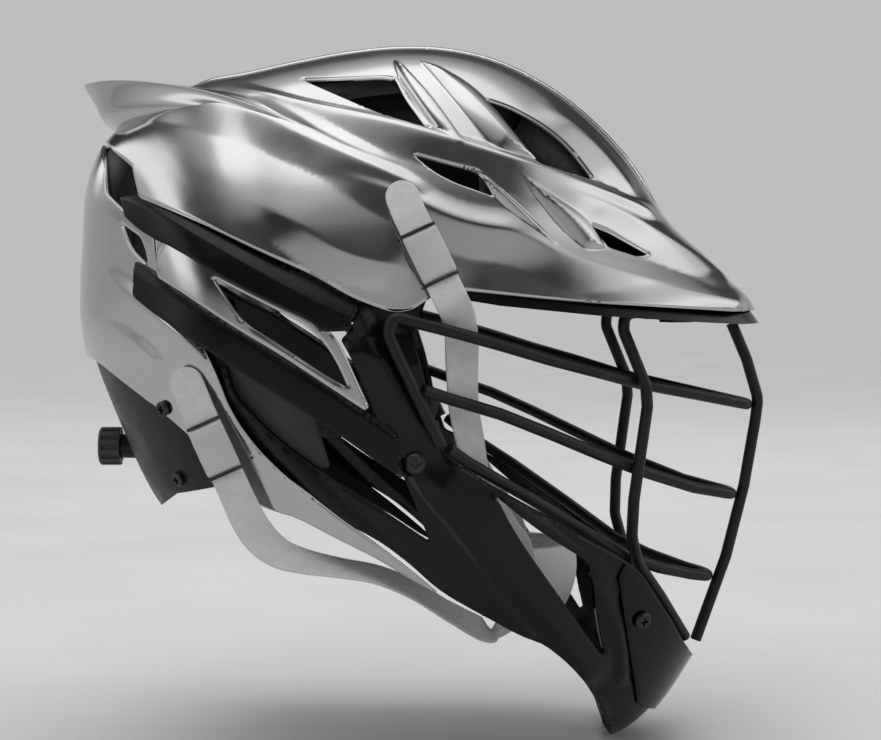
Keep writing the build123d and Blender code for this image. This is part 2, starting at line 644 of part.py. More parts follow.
def frame_plane(shares, side):
    """Plane on the inner face of the frame, its normal pointing into the helmet."""
    outside = facing(shares, FRAME_FLOOR, side)
    return Plane(origin=outside.origin, x_dir=outside.x_dir, z_dir=-outside.z_dir)


def frame_hole(shares, side):
    """Hole through the frame and half way into the shell from inside."""
    reach = FRAME_WALL + FIT_GAP + SHELL_WALL / 2
    return rod(frame_plane(shares, side), -reach, OVERRUN, SMALL_SHANK + 2 * HOLE_GAP)


def frame_screw(shares, side):
    reach = FRAME_WALL + SHELL_WALL / 2
    return screw(frame_plane(shares, side), SMALL_HEAD, SMALL_HEAD_HEIGHT, SMALL_SHANK, reach)


def carrier_hole(side):
    plane = facing(CARRIER_SCREW_SHARES, 0, side)
    return rod(plane, -FRAME_FLOOR - OVERRUN, OVERRUN, SMALL_SHANK + 2 * HOLE_GAP)


def carrier_screw(side):
    plane = facing(CARRIER_SCREW_SHARES, 0, side)
    return screw(plane, SMALL_HEAD, SMALL_HEAD_HEIGHT, SMALL_SHANK, FRAME_FLOOR)


def clip_frame(side):
    """Wire point under the visor and the direction of the wire there."""
    rear, front = [spot(EYE_WIRE_SHARES[i]) for i in CLIP_RUN]
    middle = (rear + front) * 0.5
    ahead = (front - rear).normalized()
    return Plane(
        origin=(middle.X, -side * middle.Y, middle.Z), x_dir=(ahead.X, -side * ahead.Y, ahead.Z),
        z_dir=(-ahead.Z * ahead.X, side * ahead.Z * ahead.Y, 1 - ahead.Z**2))


def brow_floor():
    """Height of the underside of the brow plate."""
    return HELMET_HEIGHT * min(z for x, z in BROW_FLOOR_SHARES)


def clip_tail(side):
    """Plane on the underside of the clip's tail, its normal pointing down."""
    frame = clip_frame(side)
    reach = WIRE_DIAMETER / 2 + CLIP_WALL + CLIP_TAIL / 2
    back = frame.y_dir if frame.y_dir.X < 0 else -frame.y_dir
    centre = frame.origin + back * reach
    height = brow_floor() - FIT_GAP - CLIP_WALL
    return Plane(origin=(centre.X, centre.Y, height), x_dir=(1, 0, 0), z_dir=(0, 0, -1))


def mask_clip(side=1):
    """Saddle that holds the mask under the visor, with its tail."""
    frame = clip_frame(side)
    top = brow_floor() - FIT_GAP - frame.origin.Z
    low = -WIRE_DIAMETER / 2 - CLIP_WALL
    width = WIRE_DIAMETER + 2 * CLIP_WALL
    level = Plane(origin=frame.origin, x_dir=(frame.x_dir.X, frame.x_dir.Y, 0), z_dir=(0, 0, 1))
    block = extrude(level.offset(low) * Rectangle(CLIP_LENGTH, width), amount=top - low)
    tail = clip_tail(side)
    across = Plane(origin=tail.origin, x_dir=level.x_dir, z_dir=(0, 0, -1))
    block = block + extrude(across * Rectangle(CLIP_LENGTH, CLIP_TAIL + CLIP_WALL), amount=-CLIP_WALL)
    bore = Plane(origin=frame.origin, z_dir=frame.x_dir)
    block = block - rod(bore, -CLIP_LENGTH, CLIP_LENGTH, WIRE_DIAMETER + 2 * HOLE_GAP)
    return block - rod(tail, -OVERRUN, OVERRUN, SMALL_SHANK + 2 * HOLE_GAP)


def clip_screw(side):
    """Screw up through a clip's tail and the brow plate."""
    return screw(clip_tail(side), SMALL_HEAD, SMALL_HEAD_HEIGHT, SMALL_SHANK, CLIP_WALL + FIT_GAP + 2 * PLATE_WALL)


def clip_screw_hole(side):
    return rod(clip_tail(side), -OVERRUN - CLIP_WALL - PLATE_WALL, OVERRUN, SMALL_SHANK + 2 * HOLE_GAP)


def mask_rim_wire():
    """Top bar of the mask with its side returns, one bent wire."""
    return wire(mirrored_points(SIDE_WIRE_SHARES + TOP_BAR_SHARES), WIRE_BEND)


def mask_middle_wire():
    return wire(mirrored_points(MIDDLE_BAR_SHARES), WIRE_BEND)


def mask_low_wire():
    return wire(mirrored_points(LOW_BAR_SHARES), WIRE_BEND)


def mask_eye_wire():
    return wire(mirrored_points(list(reversed(EYE_WIRE_SHARES))), WIRE_BEND)


def mask_centre_wire():
    return wire([spot(p) for p in CENTRE_WIRE_SHARES], RAIL_BEND)


def jaw_screw(side):
    seat = facing(JAW_SCREW_SHARES, 0, side).offset(BOSS_RISE - SEAT_GAP + FIT_GAP / 3)
    return screw(seat, SCREW_HEAD, SCREW_HEAD_HEIGHT, SCREW_SHANK, BOSS_RISE + FRAME_WALL + NUT_HEIGHT)


def jaw_nut(side):
    return nut(facing(JAW_SCREW_SHARES, 0, side), FRAME_WALL)


def chin_face(side):
    return facing(CHIN_SCREW_SHARES, 0, side).offset(LAYER_GAP + PLATE_WALL)


def chin_screw(side):
    """Round plug screw through the chin cover."""
    reach = PLATE_WALL + LAYER_GAP + FRAME_WALL
    return screw(chin_face(side), PLUG_HEAD, SMALL_HEAD_HEIGHT, SCREW_SHANK, reach)


def strap_point(shares):
    x, z, y, twist = shares
    return Vector(HELMET_LENGTH * x, -HALF_WIDTH * y, HELMET_HEIGHT * z)


def strap_axes(along, twist):
    """Width and thickness directions of a strap, its front edge turned inward by the twist."""
    outward = Vector(0, -1, 0)
    wide = along.cross(outward).normalized()
    if wide.X < 0:
        wide = -wide
    thick = wide.cross(along).normalized()
    if thick.Y > 0:
        thick = -thick
    turned = wide * cos(radians(twist)) - thick * sin(radians(twist))
    normal = thick * cos(radians(twist)) + wide * sin(radians(twist))
    return turned, normal


def strap(table):
    """Flat webbing through its stations, with a round tab, right side."""
    points = [strap_point(p) for p in table]
    sections = []
    for i, here in enumerate(points):
        before = points[max(i - 1, 0)]
        after = points[min(i + 1, len(points) - 1)]
        along = (after - before).normalized()
        wide, normal = strap_axes(along, table[i][3])
        across = wide * (STRAP_WIDTH / 2)
        up = normal * (STRAP_THICKNESS / 2)
        corners = [here + across + up, here - across + up, here - across - up, here + across - up]
        sections.append(Wire.make_polygon(corners))
    band_body = Solid.make_loft(sections, ruled=True)
    first = (points[1] - points[0]).normalized()
    wide, normal = strap_axes(first, table[0][3])
    tab = Plane(origin=points[0] - normal * (STRAP_THICKNESS / 2), x_dir=first, z_dir=normal)
    return band_body + extrude(tab * Circle(STRAP_WIDTH / 2), amount=STRAP_THICKNESS)


def adjuster(table):
    """Slider round the straight stretch of a strap, right side."""
    start, end = [strap_point(table[STRAP_FLAT_START + i]) for i in (0, 1)]
    along = (end - start).normalized()
    wide, normal = strap_axes(along, table[STRAP_FLAT_START][3])
    middle = Plane(origin=(start + end) * 0.5, x_dir=along, z_dir=normal)
    under = STRAP_THICKNESS / 2 + FIT_GAP
    low = -under - ADJUSTER_PLATE
    body = extrude(middle.offset(low) * Rectangle(ADJUSTER_LENGTH, ADJUSTER_WIDTH), amount=ADJUSTER_PLATE)
    frame = Rectangle(ADJUSTER_LENGTH, ADJUSTER_WIDTH) - Rectangle(2 * ADJUSTER_LENGTH, STRAP_WIDTH + 2 * FIT_GAP)
    body = body + extrude(middle.offset(low) * frame, amount=2 * (under + ADJUSTER_PLATE))
    ends = Rectangle(ADJUSTER_LENGTH, ADJUSTER_WIDTH) - Rectangle(
        ADJUSTER_LENGTH - 2 * ADJUSTER_BAR, 2 * ADJUSTER_WIDTH)
    return body + extrude(middle.offset(under) * ends, amount=ADJUSTER_PLATE)


def cup_ring(level, outer, inner):
    """Horseshoe section of the chin cup, open to the throat."""
    height, rear, front, half = level
    x0 = HELMET_LENGTH * rear
    length = HELMET_LENGTH * (front - rear)
    width = HALF_WIDTH * half
    z = HELMET_HEIGHT * height

    turns = even(-90, 90, 9)

    def curve(depth):
        return [(x0 + (length - depth) * cos(radians(t)) ** ROUNDNESS_SHARE if abs(t) < 90 else x0,
                 (width - depth) * sin(radians(t)), z) for t in turns]
    return outline(curve(outer), curve(inner), turns)


def chin_cup():
    return Solid.make_loft([cup_ring(level, 0, CUP_WALL) for level in CUP_LEVEL_SHARES])


def chin_cup_pad():
    """Cushion inside the cup, thinner at its upper and lower edges."""
    top = CUP_WALL + FIT_GAP
    swell = [PAD_EDGE_SHARE, 1, 1, PAD_EDGE_SHARE]
    rings = [cup_ring(level, top, top + CUP_PAD * s) for level, s in zip(CUP_LEVEL_SHARES, swell)]
    return Solid.make_loft(rings)


def dial_plane(x):
    """Plane across the dial's axis, its normal pointing forward."""
    return Plane(origin=(x, 0, HELMET_HEIGHT * DIAL_HEIGHT_SHARE), x_dir=(0, 1, 0), z_dir=(1, 0, 0))


def dial_back():
    return HELMET_LENGTH * DIAL_FRONT_SHARE


def housing_back():
    return HELMET_LENGTH * HOUSING_BACK_SHARE


def housing_front():
    return housing_back() + HOUSING_DEPTH


def fit_dial():
    """Fluted knob behind the neck."""
    back = dial_back()
    body = rod(dial_plane(back), 0, DIAL_LENGTH, DIAL_DIAMETER)
    rim_edge = body.edges().group_by(Axis.X)[0]
    body = chamfer(rim_edge, DIAL_CAP / 2)
    for i in range(DIAL_FLUTES):
        a = 2 * pi * i / DIAL_FLUTES
        hub = dial_plane(back)
        place_at = hub.from_local_coords(Vector(DIAL_DIAMETER / 2 * cos(a), DIAL_DIAMETER / 2 * sin(a), DIAL_CAP))
        flute = Plane(origin=place_at, x_dir=(0, 1, 0), z_dir=(1, 0, 0))
        body = body - rod(flute, 0, DIAL_LENGTH, DIAL_FLUTE)
    return body - rod(dial_plane(back), DIAL_CAP, DIAL_LENGTH + OVERRUN, SHAFT_DIAMETER + 2 * SHAFT_GAP)


def pinion_x():
    return housing_back() + HOUSING_WALL + (HOUSING_DEPTH - HOUSING_WALL - PINION_LENGTH) / 2


def toothed_wheel():
    """Outline of the pinion, tooth by tooth."""
    points = []
    root = PINION_RADIUS - TOOTH_DEPTH
    for i in range(PINION_TEETH):
        for share, size in ((0.0, root), (0.3, root), (0.45, PINION_RADIUS), (0.8, PINION_RADIUS)):
            a = 2 * pi * (i + share) / PINION_TEETH
            points.append((size * cos(a), size * sin(a)))
    return make_face(Polyline(*points, close=True))


def dial_shaft():
    """Shaft of the dial with its pinion."""
    start = dial_back() + DIAL_CAP + FIT_GAP
    end = housing_front() + COVER_WALL
    body = rod(dial_plane(start), 0, end - start, SHAFT_DIAMETER)
    return body + extrude(dial_plane(pinion_x()) * toothed_wheel(), amount=PINION_LENGTH)


def fit_housing():
    """Open box round the pinion, its collar reaching out to the dial."""
    wide, high = HOUSING_WIDTH, HOUSING_HEIGHT
    back = dial_plane(housing_back())
    body = extrude(back * Rectangle(wide, high), amount=HOUSING_DEPTH)
    room = Rectangle(wide - 2 * HOUSING_WALL, high - 2 * HOUSING_WALL)
    body = body - extrude(back.offset(HOUSING_WALL) * room, amount=HOUSING_DEPTH)
    collar_end = dial_back() + DIAL_LENGTH + FIT_GAP
    body = body + rod(dial_plane(collar_end), 0, housing_back() + HOUSING_WALL - collar_end, COLLAR_DIAMETER)
    for y in (-COVER_SCREW_Y, COVER_SCREW_Y):
        post = Plane(origin=back.from_local_coords(Vector(y, 0, 0)), x_dir=(0, 1, 0), z_dir=(1, 0, 0))
        body = body + rod(post, 0, HOUSING_DEPTH, SMALL_HEAD)
        body = body - rod(post, HOUSING_WALL, HOUSING_DEPTH + OVERRUN, SMALL_SHANK + 2 * HOLE_GAP)
    for side in (1, -1):
        slot_z = side * (PINION_RADIUS + FIT_GAP + (RACK_HEIGHT + TOOTH_DEPTH) / 2)
        slot_y = side * (HOUSING_WIDTH / 2)
        centre = back.from_local_coords(Vector(slot_y, slot_z, rack_x() - housing_back() + RACK_THICKNESS / 2))
        size = RACK_THICKNESS + 2 * FIT_GAP, 4 * HOUSING_WALL, RACK_HEIGHT + TOOTH_DEPTH + 2 * FIT_GAP
        body = body - Pos(centre) * Box(*size)
    return body - rod(dial_plane(collar_end), -OVERRUN, HELMET_LENGTH / 4, SHAFT_DIAMETER + 2 * SHAFT_GAP)


def housing_cover():
    """Plate that closes the box."""
    face = dial_plane(housing_front())
    body = extrude(face * Rectangle(HOUSING_WIDTH, HOUSING_HEIGHT), amount=COVER_WALL)
    body = body - rod(face, -OVERRUN, OVERRUN, SHAFT_DIAMETER + 2 * SHAFT_GAP)
    for y in (-COVER_SCREW_Y, COVER_SCREW_Y):
        post = Plane(origin=face.from_local_coords(Vector(y, 0, 0)), x_dir=(0, 1, 0), z_dir=(1, 0, 0))
        body = body - rod(post, -OVERRUN, OVERRUN, SMALL_SHANK + 2 * HOLE_GAP)
    return body


def cover_screw(side):
    face = dial_plane(housing_front() + COVER_WALL)
    place_at = face.from_local_coords(Vector(side * COVER_SCREW_Y, 0, 0))
    seat = Plane(origin=place_at, x_dir=(0, 1, 0), z_dir=(1, 0, 0))
    reach = COVER_WALL + HOUSING_DEPTH - HOUSING_WALL - FIT_GAP
    return screw(seat, SMALL_HEAD, SMALL_HEAD_HEIGHT, SMALL_SHANK, reach)


def rack_x():
    return pinion_x() + (PINION_LENGTH - RACK_THICKNESS) / 2


def rack(side=1):
    """Toothed bar and the arm that draws in the nape pad; side 1 is the left."""
    plane = dial_plane(rack_x())
    tip = PINION_RADIUS + FIT_GAP
    pitch = 2 * pi * PINION_RADIUS / PINION_TEETH
    inner_end = -RACK_TRAVEL - RACK_MARGIN
    outer_end = HOUSING_WIDTH / 2 + RACK_TRAVEL + RACK_MARGIN
    points = [(inner_end, tip + TOOTH_DEPTH + RACK_HEIGHT), (inner_end, tip)]
    teeth = int((HOUSING_WIDTH / 2 - inner_end) / pitch)
    for i in range(teeth):
        start = inner_end + pitch * i
        for share, rise in ((0.35, 0), (0.5, 1), (0.8, 1), (0.95, 0)):
            points.append((start + pitch * share, tip + TOOTH_DEPTH * rise))
    points += [(outer_end, tip), (outer_end, tip + TOOTH_DEPTH + RACK_HEIGHT)]
    profile = make_face(Polyline(*[(side * y, side * z) for y, z in points], close=True))
    bar = extrude(plane * profile, amount=RACK_THICKNESS)
    return bar + arm_plate(side, 0, RACK_THICKNESS, NAPE_HEIGHT - 2 * HOUSING_WALL)


def arm_plate(side, near, far, height):
    """Upright plate along the arm's line, between two distances in front of it."""
    y0 = HOUSING_WIDTH / 2 + RACK_TRAVEL + FIT_GAP
    line = [(rack_x(), y0)] + [(HELMET_LENGTH * x, HALF_WIDTH * y) for x, y in ARM_SHARES]
    low = HELMET_HEIGHT * DIAL_HEIGHT_SHARE - height / 2
    points = [(x + near, side * y) for x, y in line] + [(x + far, side * y) for x, y in reversed(line)]
    face = Plane.XY.offset(low) * make_face(Polyline(*points, close=True))
    return extrude(face, amount=height)


def nape_pad(side=1):
    """Cushion on the arm, its front face crowned."""
    start = RACK_THICKNESS + FIT_GAP
    low = arm_plate(side, start, start + NAPE_PAD * PAD_EDGE_SHARE, NAPE_HEIGHT)
    return low + arm_plate(side, start, start + NAPE_PAD, NAPE_HEIGHT * PAD_EDGE_SHARE)


def fit_carrier():
    """Black plate under the back of the shell that holds the fit dial."""
    bottom = FRAME_TOP + PANEL_WALL
    body = band(165.9, 250, FRAME_TOP, bottom) & prism(CARRIER_SHARES)
    body = body - rod(dial_plane(dial_back()), 0, HELMET_LENGTH / 4, COLLAR_DIAMETER + 2 * HOLE_GAP)
    for side in (1, -1):
        body = body - carrier_hole(side) - nape_hole(side)
    return body


def nape_hole(side):
    plane = facing(NAPE_SCREW_SHARES, FRAME_TOP, side)
    return rod(plane, -FRAME_FLOOR - OVERRUN, OVERRUN, SMALL_SHANK + 2 * HOLE_GAP)


def nape_screw(side):
    """Screw in the lower edge of the carrier."""
    return screw(facing(NAPE_SCREW_SHARES, FRAME_TOP, side), SMALL_HEAD, SMALL_HEAD_HEIGHT, SMALL_SHANK, PANEL_WALL + FIT_GAP)


def group(maker):
    """The same fastener on the left and on the right."""
    return Compound(children=[maker(1), maker(-1)])


def frame_screws():
    places = [(shares, side) for shares in FRAME_SCREW_SHARES + [COLUMN_SCREW_SHARES] for side in (1, -1)]
    return Compound(children=[frame_screw(*p) for p in places])


def pair(name, maker, left=True):
    """A piece and its mirror image; left says which side the maker draws."""
    first, second = ("left", "right") if left else ("right", "left")
    shape = maker()
    return {f"{name}_{first}": shape, f"{name}_{second}": other_side(shape)}


def build():
    """Every piece of the helmet by name."""
    parts = {
        "front_shell": front_shell(),
        "rear_shell": rear_shell(),
        "brow_plate": brow_plate(),
        "jaw_guard": jaw_guard(),
        "chin_plate": chin_plate(),
        "mask_rim_wire": mask_rim_wire(),
        "mask_middle_wire": mask_middle_wire(),
        "mask_low_wire": mask_low_wire(),
        "mask_eye_wire": mask_eye_wire(),
        "mask_centre_wire": mask_centre_wire(),
        "clip_screws": group(clip_screw),
        "jaw_screws": group(jaw_screw),
        "jaw_nuts": group(jaw_nut),
        "chin_screws": group(chin_screw),
        "frame_screws": frame_screws(),
        "liner_crown": liner_crown(),
        "liner_front": liner_front(),
        "liner_rear": liner_rear(),
        "fit_carrier": fit_carrier(),
        "carrier_screws": group(carrier_screw),
        "nape_screws": group(nape_screw),
        "fit_housing": fit_housing(),
        "housing_cover": housing_cover(),
        "cover_screws": group(cover_screw),
        "fit_dial": fit_dial(),
        "dial_shaft": dial_shaft(),
        "rack_left": rack(1),
        "rack_right": rack(-1),
        "nape_pad_left": nape_pad(1),
        "nape_pad_right": nape_pad(-1),
        "chin_cup": chin_cup(),
        "chin_cup_pad": chin_cup_pad(),
        "front_studs": group(lambda side: stud(FRONT_STUD_SHARES, side)),
        "rear_studs": group(lambda side: stud(REAR_STUD_SHARES, side)),
    }
    parts |= pair("side_loop", side_loop)
    parts |= pair("upper_rail", upper_rail)
    parts |= pair("lower_rail", lower_rail)
    parts |= pair("ear_panel", ear_panel)
    parts |= pair("liner_side", liner_side)
    parts |= pair("jaw_pad", jaw_pad)
    parts |= pair("mask_clip", mask_clip)
    parts |= pair("front_strap", lambda: strap(FRONT_STRAP_SHARES), left=False)
    parts |= pair("rear_strap", lambda: strap(REAR_STRAP_SHARES), left=False)
    parts |= pair("front_adjuster", lambda: adjuster(FRONT_STRAP_SHARES), left=False)
    parts |= pair("rear_adjuster", lambda: adjuster(REAR_STRAP_SHARES), left=False)
    return parts


def main():
    os.makedirs("parts", exist_ok=True)
    for name, shape in build().items():
        export_step(shape, f"parts/{name}.step")


main()
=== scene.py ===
import bpy
import math
import numpy as np
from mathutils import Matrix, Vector
from mathutils.geometry import delaunay_2d_cdt
from mathutils.kdtree import KDTree


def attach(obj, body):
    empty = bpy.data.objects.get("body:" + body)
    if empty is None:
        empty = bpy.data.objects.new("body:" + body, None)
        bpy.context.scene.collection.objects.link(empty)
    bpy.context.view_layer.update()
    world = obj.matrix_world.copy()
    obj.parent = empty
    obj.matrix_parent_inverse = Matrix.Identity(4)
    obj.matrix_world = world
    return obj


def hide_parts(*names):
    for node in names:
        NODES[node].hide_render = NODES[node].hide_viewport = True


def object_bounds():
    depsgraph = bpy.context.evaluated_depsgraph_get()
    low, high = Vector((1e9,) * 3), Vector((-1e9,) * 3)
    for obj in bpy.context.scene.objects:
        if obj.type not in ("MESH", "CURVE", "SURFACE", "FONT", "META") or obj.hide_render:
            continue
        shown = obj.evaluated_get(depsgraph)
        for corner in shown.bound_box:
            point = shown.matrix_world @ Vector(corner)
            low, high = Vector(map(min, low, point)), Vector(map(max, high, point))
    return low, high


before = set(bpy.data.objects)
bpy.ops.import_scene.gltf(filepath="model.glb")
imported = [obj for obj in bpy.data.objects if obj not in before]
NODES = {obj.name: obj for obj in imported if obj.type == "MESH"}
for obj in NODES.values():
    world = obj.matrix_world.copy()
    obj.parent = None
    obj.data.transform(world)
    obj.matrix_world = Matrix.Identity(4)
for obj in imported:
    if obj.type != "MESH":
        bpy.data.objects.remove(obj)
CAD_LOW, CAD_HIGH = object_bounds()
MM = 0.001
MIRROR = np.array([1, -1, 1])

# The outer surface, as in the part's source: shares of the length, height and half width
LENGTH = 340.0
HEIGHT = 340.0
HALF = 108.0
ROUND = 0.92
SHELL = 3.0
# By angle from the front: distance from the ear in thousandths
OUTLINE = [
    (-70, 624), (-60, 691), (-51, 741), (-39, 725), (-20, 694), (-8, 671), (3.9, 654), (9.5, 602),
    (18, 552), (30.1, 530), (39.1, 515), (47, 501), (56.3, 482), (65, 459), (72, 439),
    (81.4, 415), (91.7, 397), (102.6, 390), (113.5, 399), (125, 404), (136, 405), (144.4, 388),
    (156.2, 354), (165.9, 338), (174.8, 329), (183.7, 321), (198, 310), (214, 315), (229, 335),
    (250, 400), (270, 506), (290, 624)]
OUTLINE = np.array(OUTLINE) / (1, 1000)
# The same with one more place beyond each end
AROUND = np.vstack([OUTLINE[-2] - (360, 0), OUTLINE, OUTLINE[1] + (360, 0)]).T


def cubic(t, start, end, leaving, arriving):
    """Place on a curve between two places, from its directions at both."""
    return (start * (2 * t**3 - 3 * t**2 + 1) + leaving * (t**3 - 2 * t**2 + t)
            + end * (3 * t**2 - 2 * t**3) + arriving * (t**3 - t**2))


def radius(angle):
    """Outer surface in the centre plane, as a share, by angle from the front."""
    a = (np.asarray(angle, float) + 70) % 360 - 70
    i = np.clip(np.searchsorted(OUTLINE[:, 0], a, side="right") - 1, 0, len(OUTLINE) - 2)
    (am, a0, a1, ap), (rm, r0, r1, rp) = ([row[i + k] for k in range(4)] for row in AROUND)
    h = a1 - a0
    m0, m1 = (r1 - rm) / (a1 - am), (rp - r0) / (ap - a0)
    return cubic((a - a0) / h, r0, r1, m0 * h, m1 * h)


def rim(angle):
    """Side-view place on the outline of the centre plane."""
    share = radius(angle)
    a = np.radians(angle)
    return LENGTH * share * np.cos(a), HEIGHT * share * np.sin(a)


def angle_of(x, z):
    return np.degrees(np.arctan2(np.asarray(z, float) / HEIGHT, np.asarray(x, float) / LENGTH))


def surface(angle, share, depth):
    """Point on the wearer's right; share runs 0 at the ear to 1 in the centre plane."""
    x, z = rim(angle)
    scale = 1 - depth / np.hypot(x, z)
    turn = np.radians(90 * np.clip(share, 0, 1))
    rho = np.sin(turn) ** ROUND
    y = -(HALF - depth) * np.cos(turn) ** ROUND
    y = np.where(np.asarray(share) >= 0.9999, 0, y)
    return np.stack([x * scale * rho, y, z * scale * rho], -1)


def outness(x, z):
    """How far out a side-view place is: 0 at the ear, 1 on the outline."""
    return np.hypot(x, z) / np.hypot(*rim(angle_of(x, z)))


def side_y(x, z):
    """Half width of the outer surface at a side-view place."""
    rho = outness(x, z)
    return HALF * np.maximum(0, 1 - rho ** (2 / ROUND)) ** (ROUND / 2)


OUTWARD = 0.8  # how fast laid-flat places move on beyond the outline


def unroll(points):
    """Side-view places laid flat round the ear; beyond the outline they keep going outward."""
    x, z = np.asarray(points, float).T
    rx, rz = rim(angle_of(x, z))
    rho = outness(x, z)
    within = np.clip(rho, 0, 1) ** (1 / ROUND)
    share = np.where(rho < 1, np.arcsin(within) * 2 / np.pi, 1 + OUTWARD * (rho - 1))
    return np.stack([rx * share, rz * share], -1)


# The photograph's camera: 881 x 740, seen from the wearer's right, a little from above
DISTANCE = 1050.0
SCALE = 2.0
AIM = (66.25, 0.0, -17.0)
TILT = math.radians(2.5)
MIDDLE_U, MIDDLE_V = 440.5, 370.0
SEARCHES = 60


def seen(u, v):
    """Side-view place of a pixel of the photograph on the near side's surface."""
    y = -80.0
    for _ in range(SEARCHES):
        z = 0.0
        for _ in range(3):
            d = y * math.cos(TILT) - (z - AIM[2]) * math.sin(TILT)
            f = (DISTANCE + d) / (SCALE * DISTANCE)
            x = AIM[0] + (u - MIDDLE_U) * f
            z = AIM[2] + ((MIDDLE_V - v) * f - y * math.sin(TILT)) / math.cos(TILT)
        y = 0.6 * y - 0.4 * float(side_y(x, z))
    return x, z


def seen_line(pixels):
    return np.array([seen(u, v) for u, v in pixels])


def shares(places):
    """Side-view places from thousandths of the length and height."""
    return np.array(places) / 1000 * (LENGTH, HEIGHT)


LONGEST_CUT = 0.48  # of the shorter side at a corner
CURVE_STEPS = 6


def rounded(points, fillet=1.6, gentle=30.0, closed=True, step=1.0):
    """Outline with its gentle turns smoothed, its corners filleted, and points at even steps."""
    pts = [np.asarray(p, float) for p in points]
    n = len(pts)
    out = []
    for i, here in enumerate(pts):
        if not closed and i in (0, n - 1):
            out.append(here)
            continue
        before, after = pts[i - 1] - here, pts[(i + 1) % n] - here
        lb, la = np.linalg.norm(before), np.linalg.norm(after)
        turn = math.degrees(math.acos(np.clip(-(before @ after) / (lb * la), -1, 1)))
        reach = LONGEST_CUT * min(lb, la)
        if turn >= gentle:
            reach = min(reach, fillet)
        a, b = here + before / lb * reach, here + after / la * reach
        for k in range(CURVE_STEPS + 1):
            t = k / CURVE_STEPS
            out.append((1 - t) ** 2 * a + 2 * t * (1 - t) * here + t * t * b)
    out = np.array(out)
    if closed:
        out = np.vstack([out, out[:1]])
    gaps = np.linalg.norm(np.diff(out, axis=0), axis=1)
    run = np.concatenate([[0], np.cumsum(gaps)])
    count = max(6, int(round(run[-1] / step)))
    at = np.linspace(0, run[-1], count + 1)
    made = np.stack([np.interp(at, run, out[:, k]) for k in range(out.shape[1])], -1)
    return made[:-1] if closed else made


def inside(points, polygon):
    """Even-odd test of many points against one polygon."""
    x, y = points.T[:, :, None]
    x0, y0 = polygon.T[:, None]
    x1, y1 = np.roll(polygon, -1, 0).T[:, None]
    crosses = (y0 > y) != (y1 > y)
    with np.errstate(divide="ignore", invalid="ignore"):
        at = x0 + (y - y0) * (x1 - x0) / (y1 - y0)
    return (np.sum(crosses & (x < at), axis=1) % 2).astype(bool)


def line_distance(points, line):
    """Distance to a line of points, which side (1 is left of its direction) and place along it."""
    best = np.full(len(points), 1e9)
    side = np.zeros(len(points))
    along = np.zeros(len(points))
    lengths = np.linalg.norm(np.diff(line, axis=0), axis=1)
    total, run = lengths.sum(), 0.0
    for a, b, size in zip(line, line[1:], lengths):
        d = (b - a) / size
        rel = points - a
        t = np.clip(rel @ d, 0, size)
        gap = rel - t[:, None] * d
        dist = np.hypot(gap[:, 0], gap[:, 1])
        near = dist < best
        best = np.where(near, dist, best)
        side = np.where(near, np.sign(d[0] * rel[:, 1] - d[1] * rel[:, 0]), side)
        along = np.where(near, (run + t) / total, along)
        run += size
    return best, side, along


def unit(v):
    return v / np.linalg.norm(v)


def smooth(t):
    t = np.clip(t, 0, 1)
    return t * t * (3 - 2 * t)


def left_of(ahead):
    """Unit vectors to the left of rows of flat directions."""
    ahead = ahead / (np.linalg.norm(ahead, axis=1)[:, None] + 1e-9)
    return np.stack([-ahead[:, 1], ahead[:, 0]], -1)


def loop_left(loop):
    """Unit vectors to the left of a closed line."""
    return left_of(np.roll(loop, -1, 0) - np.roll(loop, 1, 0))


def beside(line, offsets, step, closed=False):
    """The line resampled, with rows of matching points at set distances to its left."""
    line = rounded(line, closed=closed, step=step, gentle=80)
    normal = loop_left(line) if closed else left_of(np.gradient(line, axis=0))
    rows = [line + normal * offset for offset in offsets]
    return [np.vstack([r, r[:1]]) if closed else r for r in rows]


class Crest:
    """A raised line: its pixels, or places in thousandths where shares reads them, its height,
    the widths over which it falls away to its left and right, and how its ends fade."""
    blunt = 1.2
    power = 1.35
    narrow_rows = (0.22, 0.45, 0.72, 1.0, 1.2)  # guides as shares of a narrow foot
    wide_rows = (0.9, 1.9, 3.2)  # guides in mm from the top of a wide one

    def __init__(self, line, height, left, right, start, end, reader=seen_line):
        self.line = rounded(reader(line), closed=False, gentle=60, step=2.0)
        self.height, self.left, self.right = height, left, right
        self.start, self.end = start, end

    def guides(self, step):
        offsets = [0.0]
        for width, way in ((self.left, 1), (self.right, -1)):
            foot = math.sqrt(width**2 + 2 * width * self.blunt)
            wide = (*(row / foot for row in self.wide_rows), 1.0)
            offsets += [way * foot * share for share in (self.narrow_rows if foot < 7 else wide)]
        return beside(self.line, sorted(offsets), step * 0.95)

    def at(self, base, angle):
        d, side, along = line_distance(base[:, [0, 2]], self.line)
        width = np.where(side > 0, self.left, self.right)
        d = np.sqrt(d * d + self.blunt**2) - self.blunt
        fade = smooth(along / self.start) * smooth((1 - along) / self.end)
        return self.height * np.clip(1 - d / width, 0, 1) ** self.power * fade


class Fold(Crest):
    """A crest with straight faces."""
    power = 1.0


class Bevel:
    """A ridge along a rail: a steep face above the line, below it a face leaning outward."""
    rows = (-4.0, -0.9, 0.0, 0.9, 4.0)
    blunt = 0.3

    def __init__(self, line, height, above, below):
        self.line = rounded(seen_line(line), closed=False, gentle=60, step=2.0)
        self.height, self.above, self.below = height, above, below

    def guides(self, step):
        return beside(self.line, self.rows, step * 0.95)

    def at(self, base, angle):
        d, side, _ = line_distance(base[:, [0, 2]], self.line)
        up = np.sqrt(np.maximum(d * side, 0) ** 2 + self.blunt) - math.sqrt(self.blunt)
        down = np.maximum(-d * side, 0)
        return np.clip(self.height - up * self.above + down * self.below, 0, None)


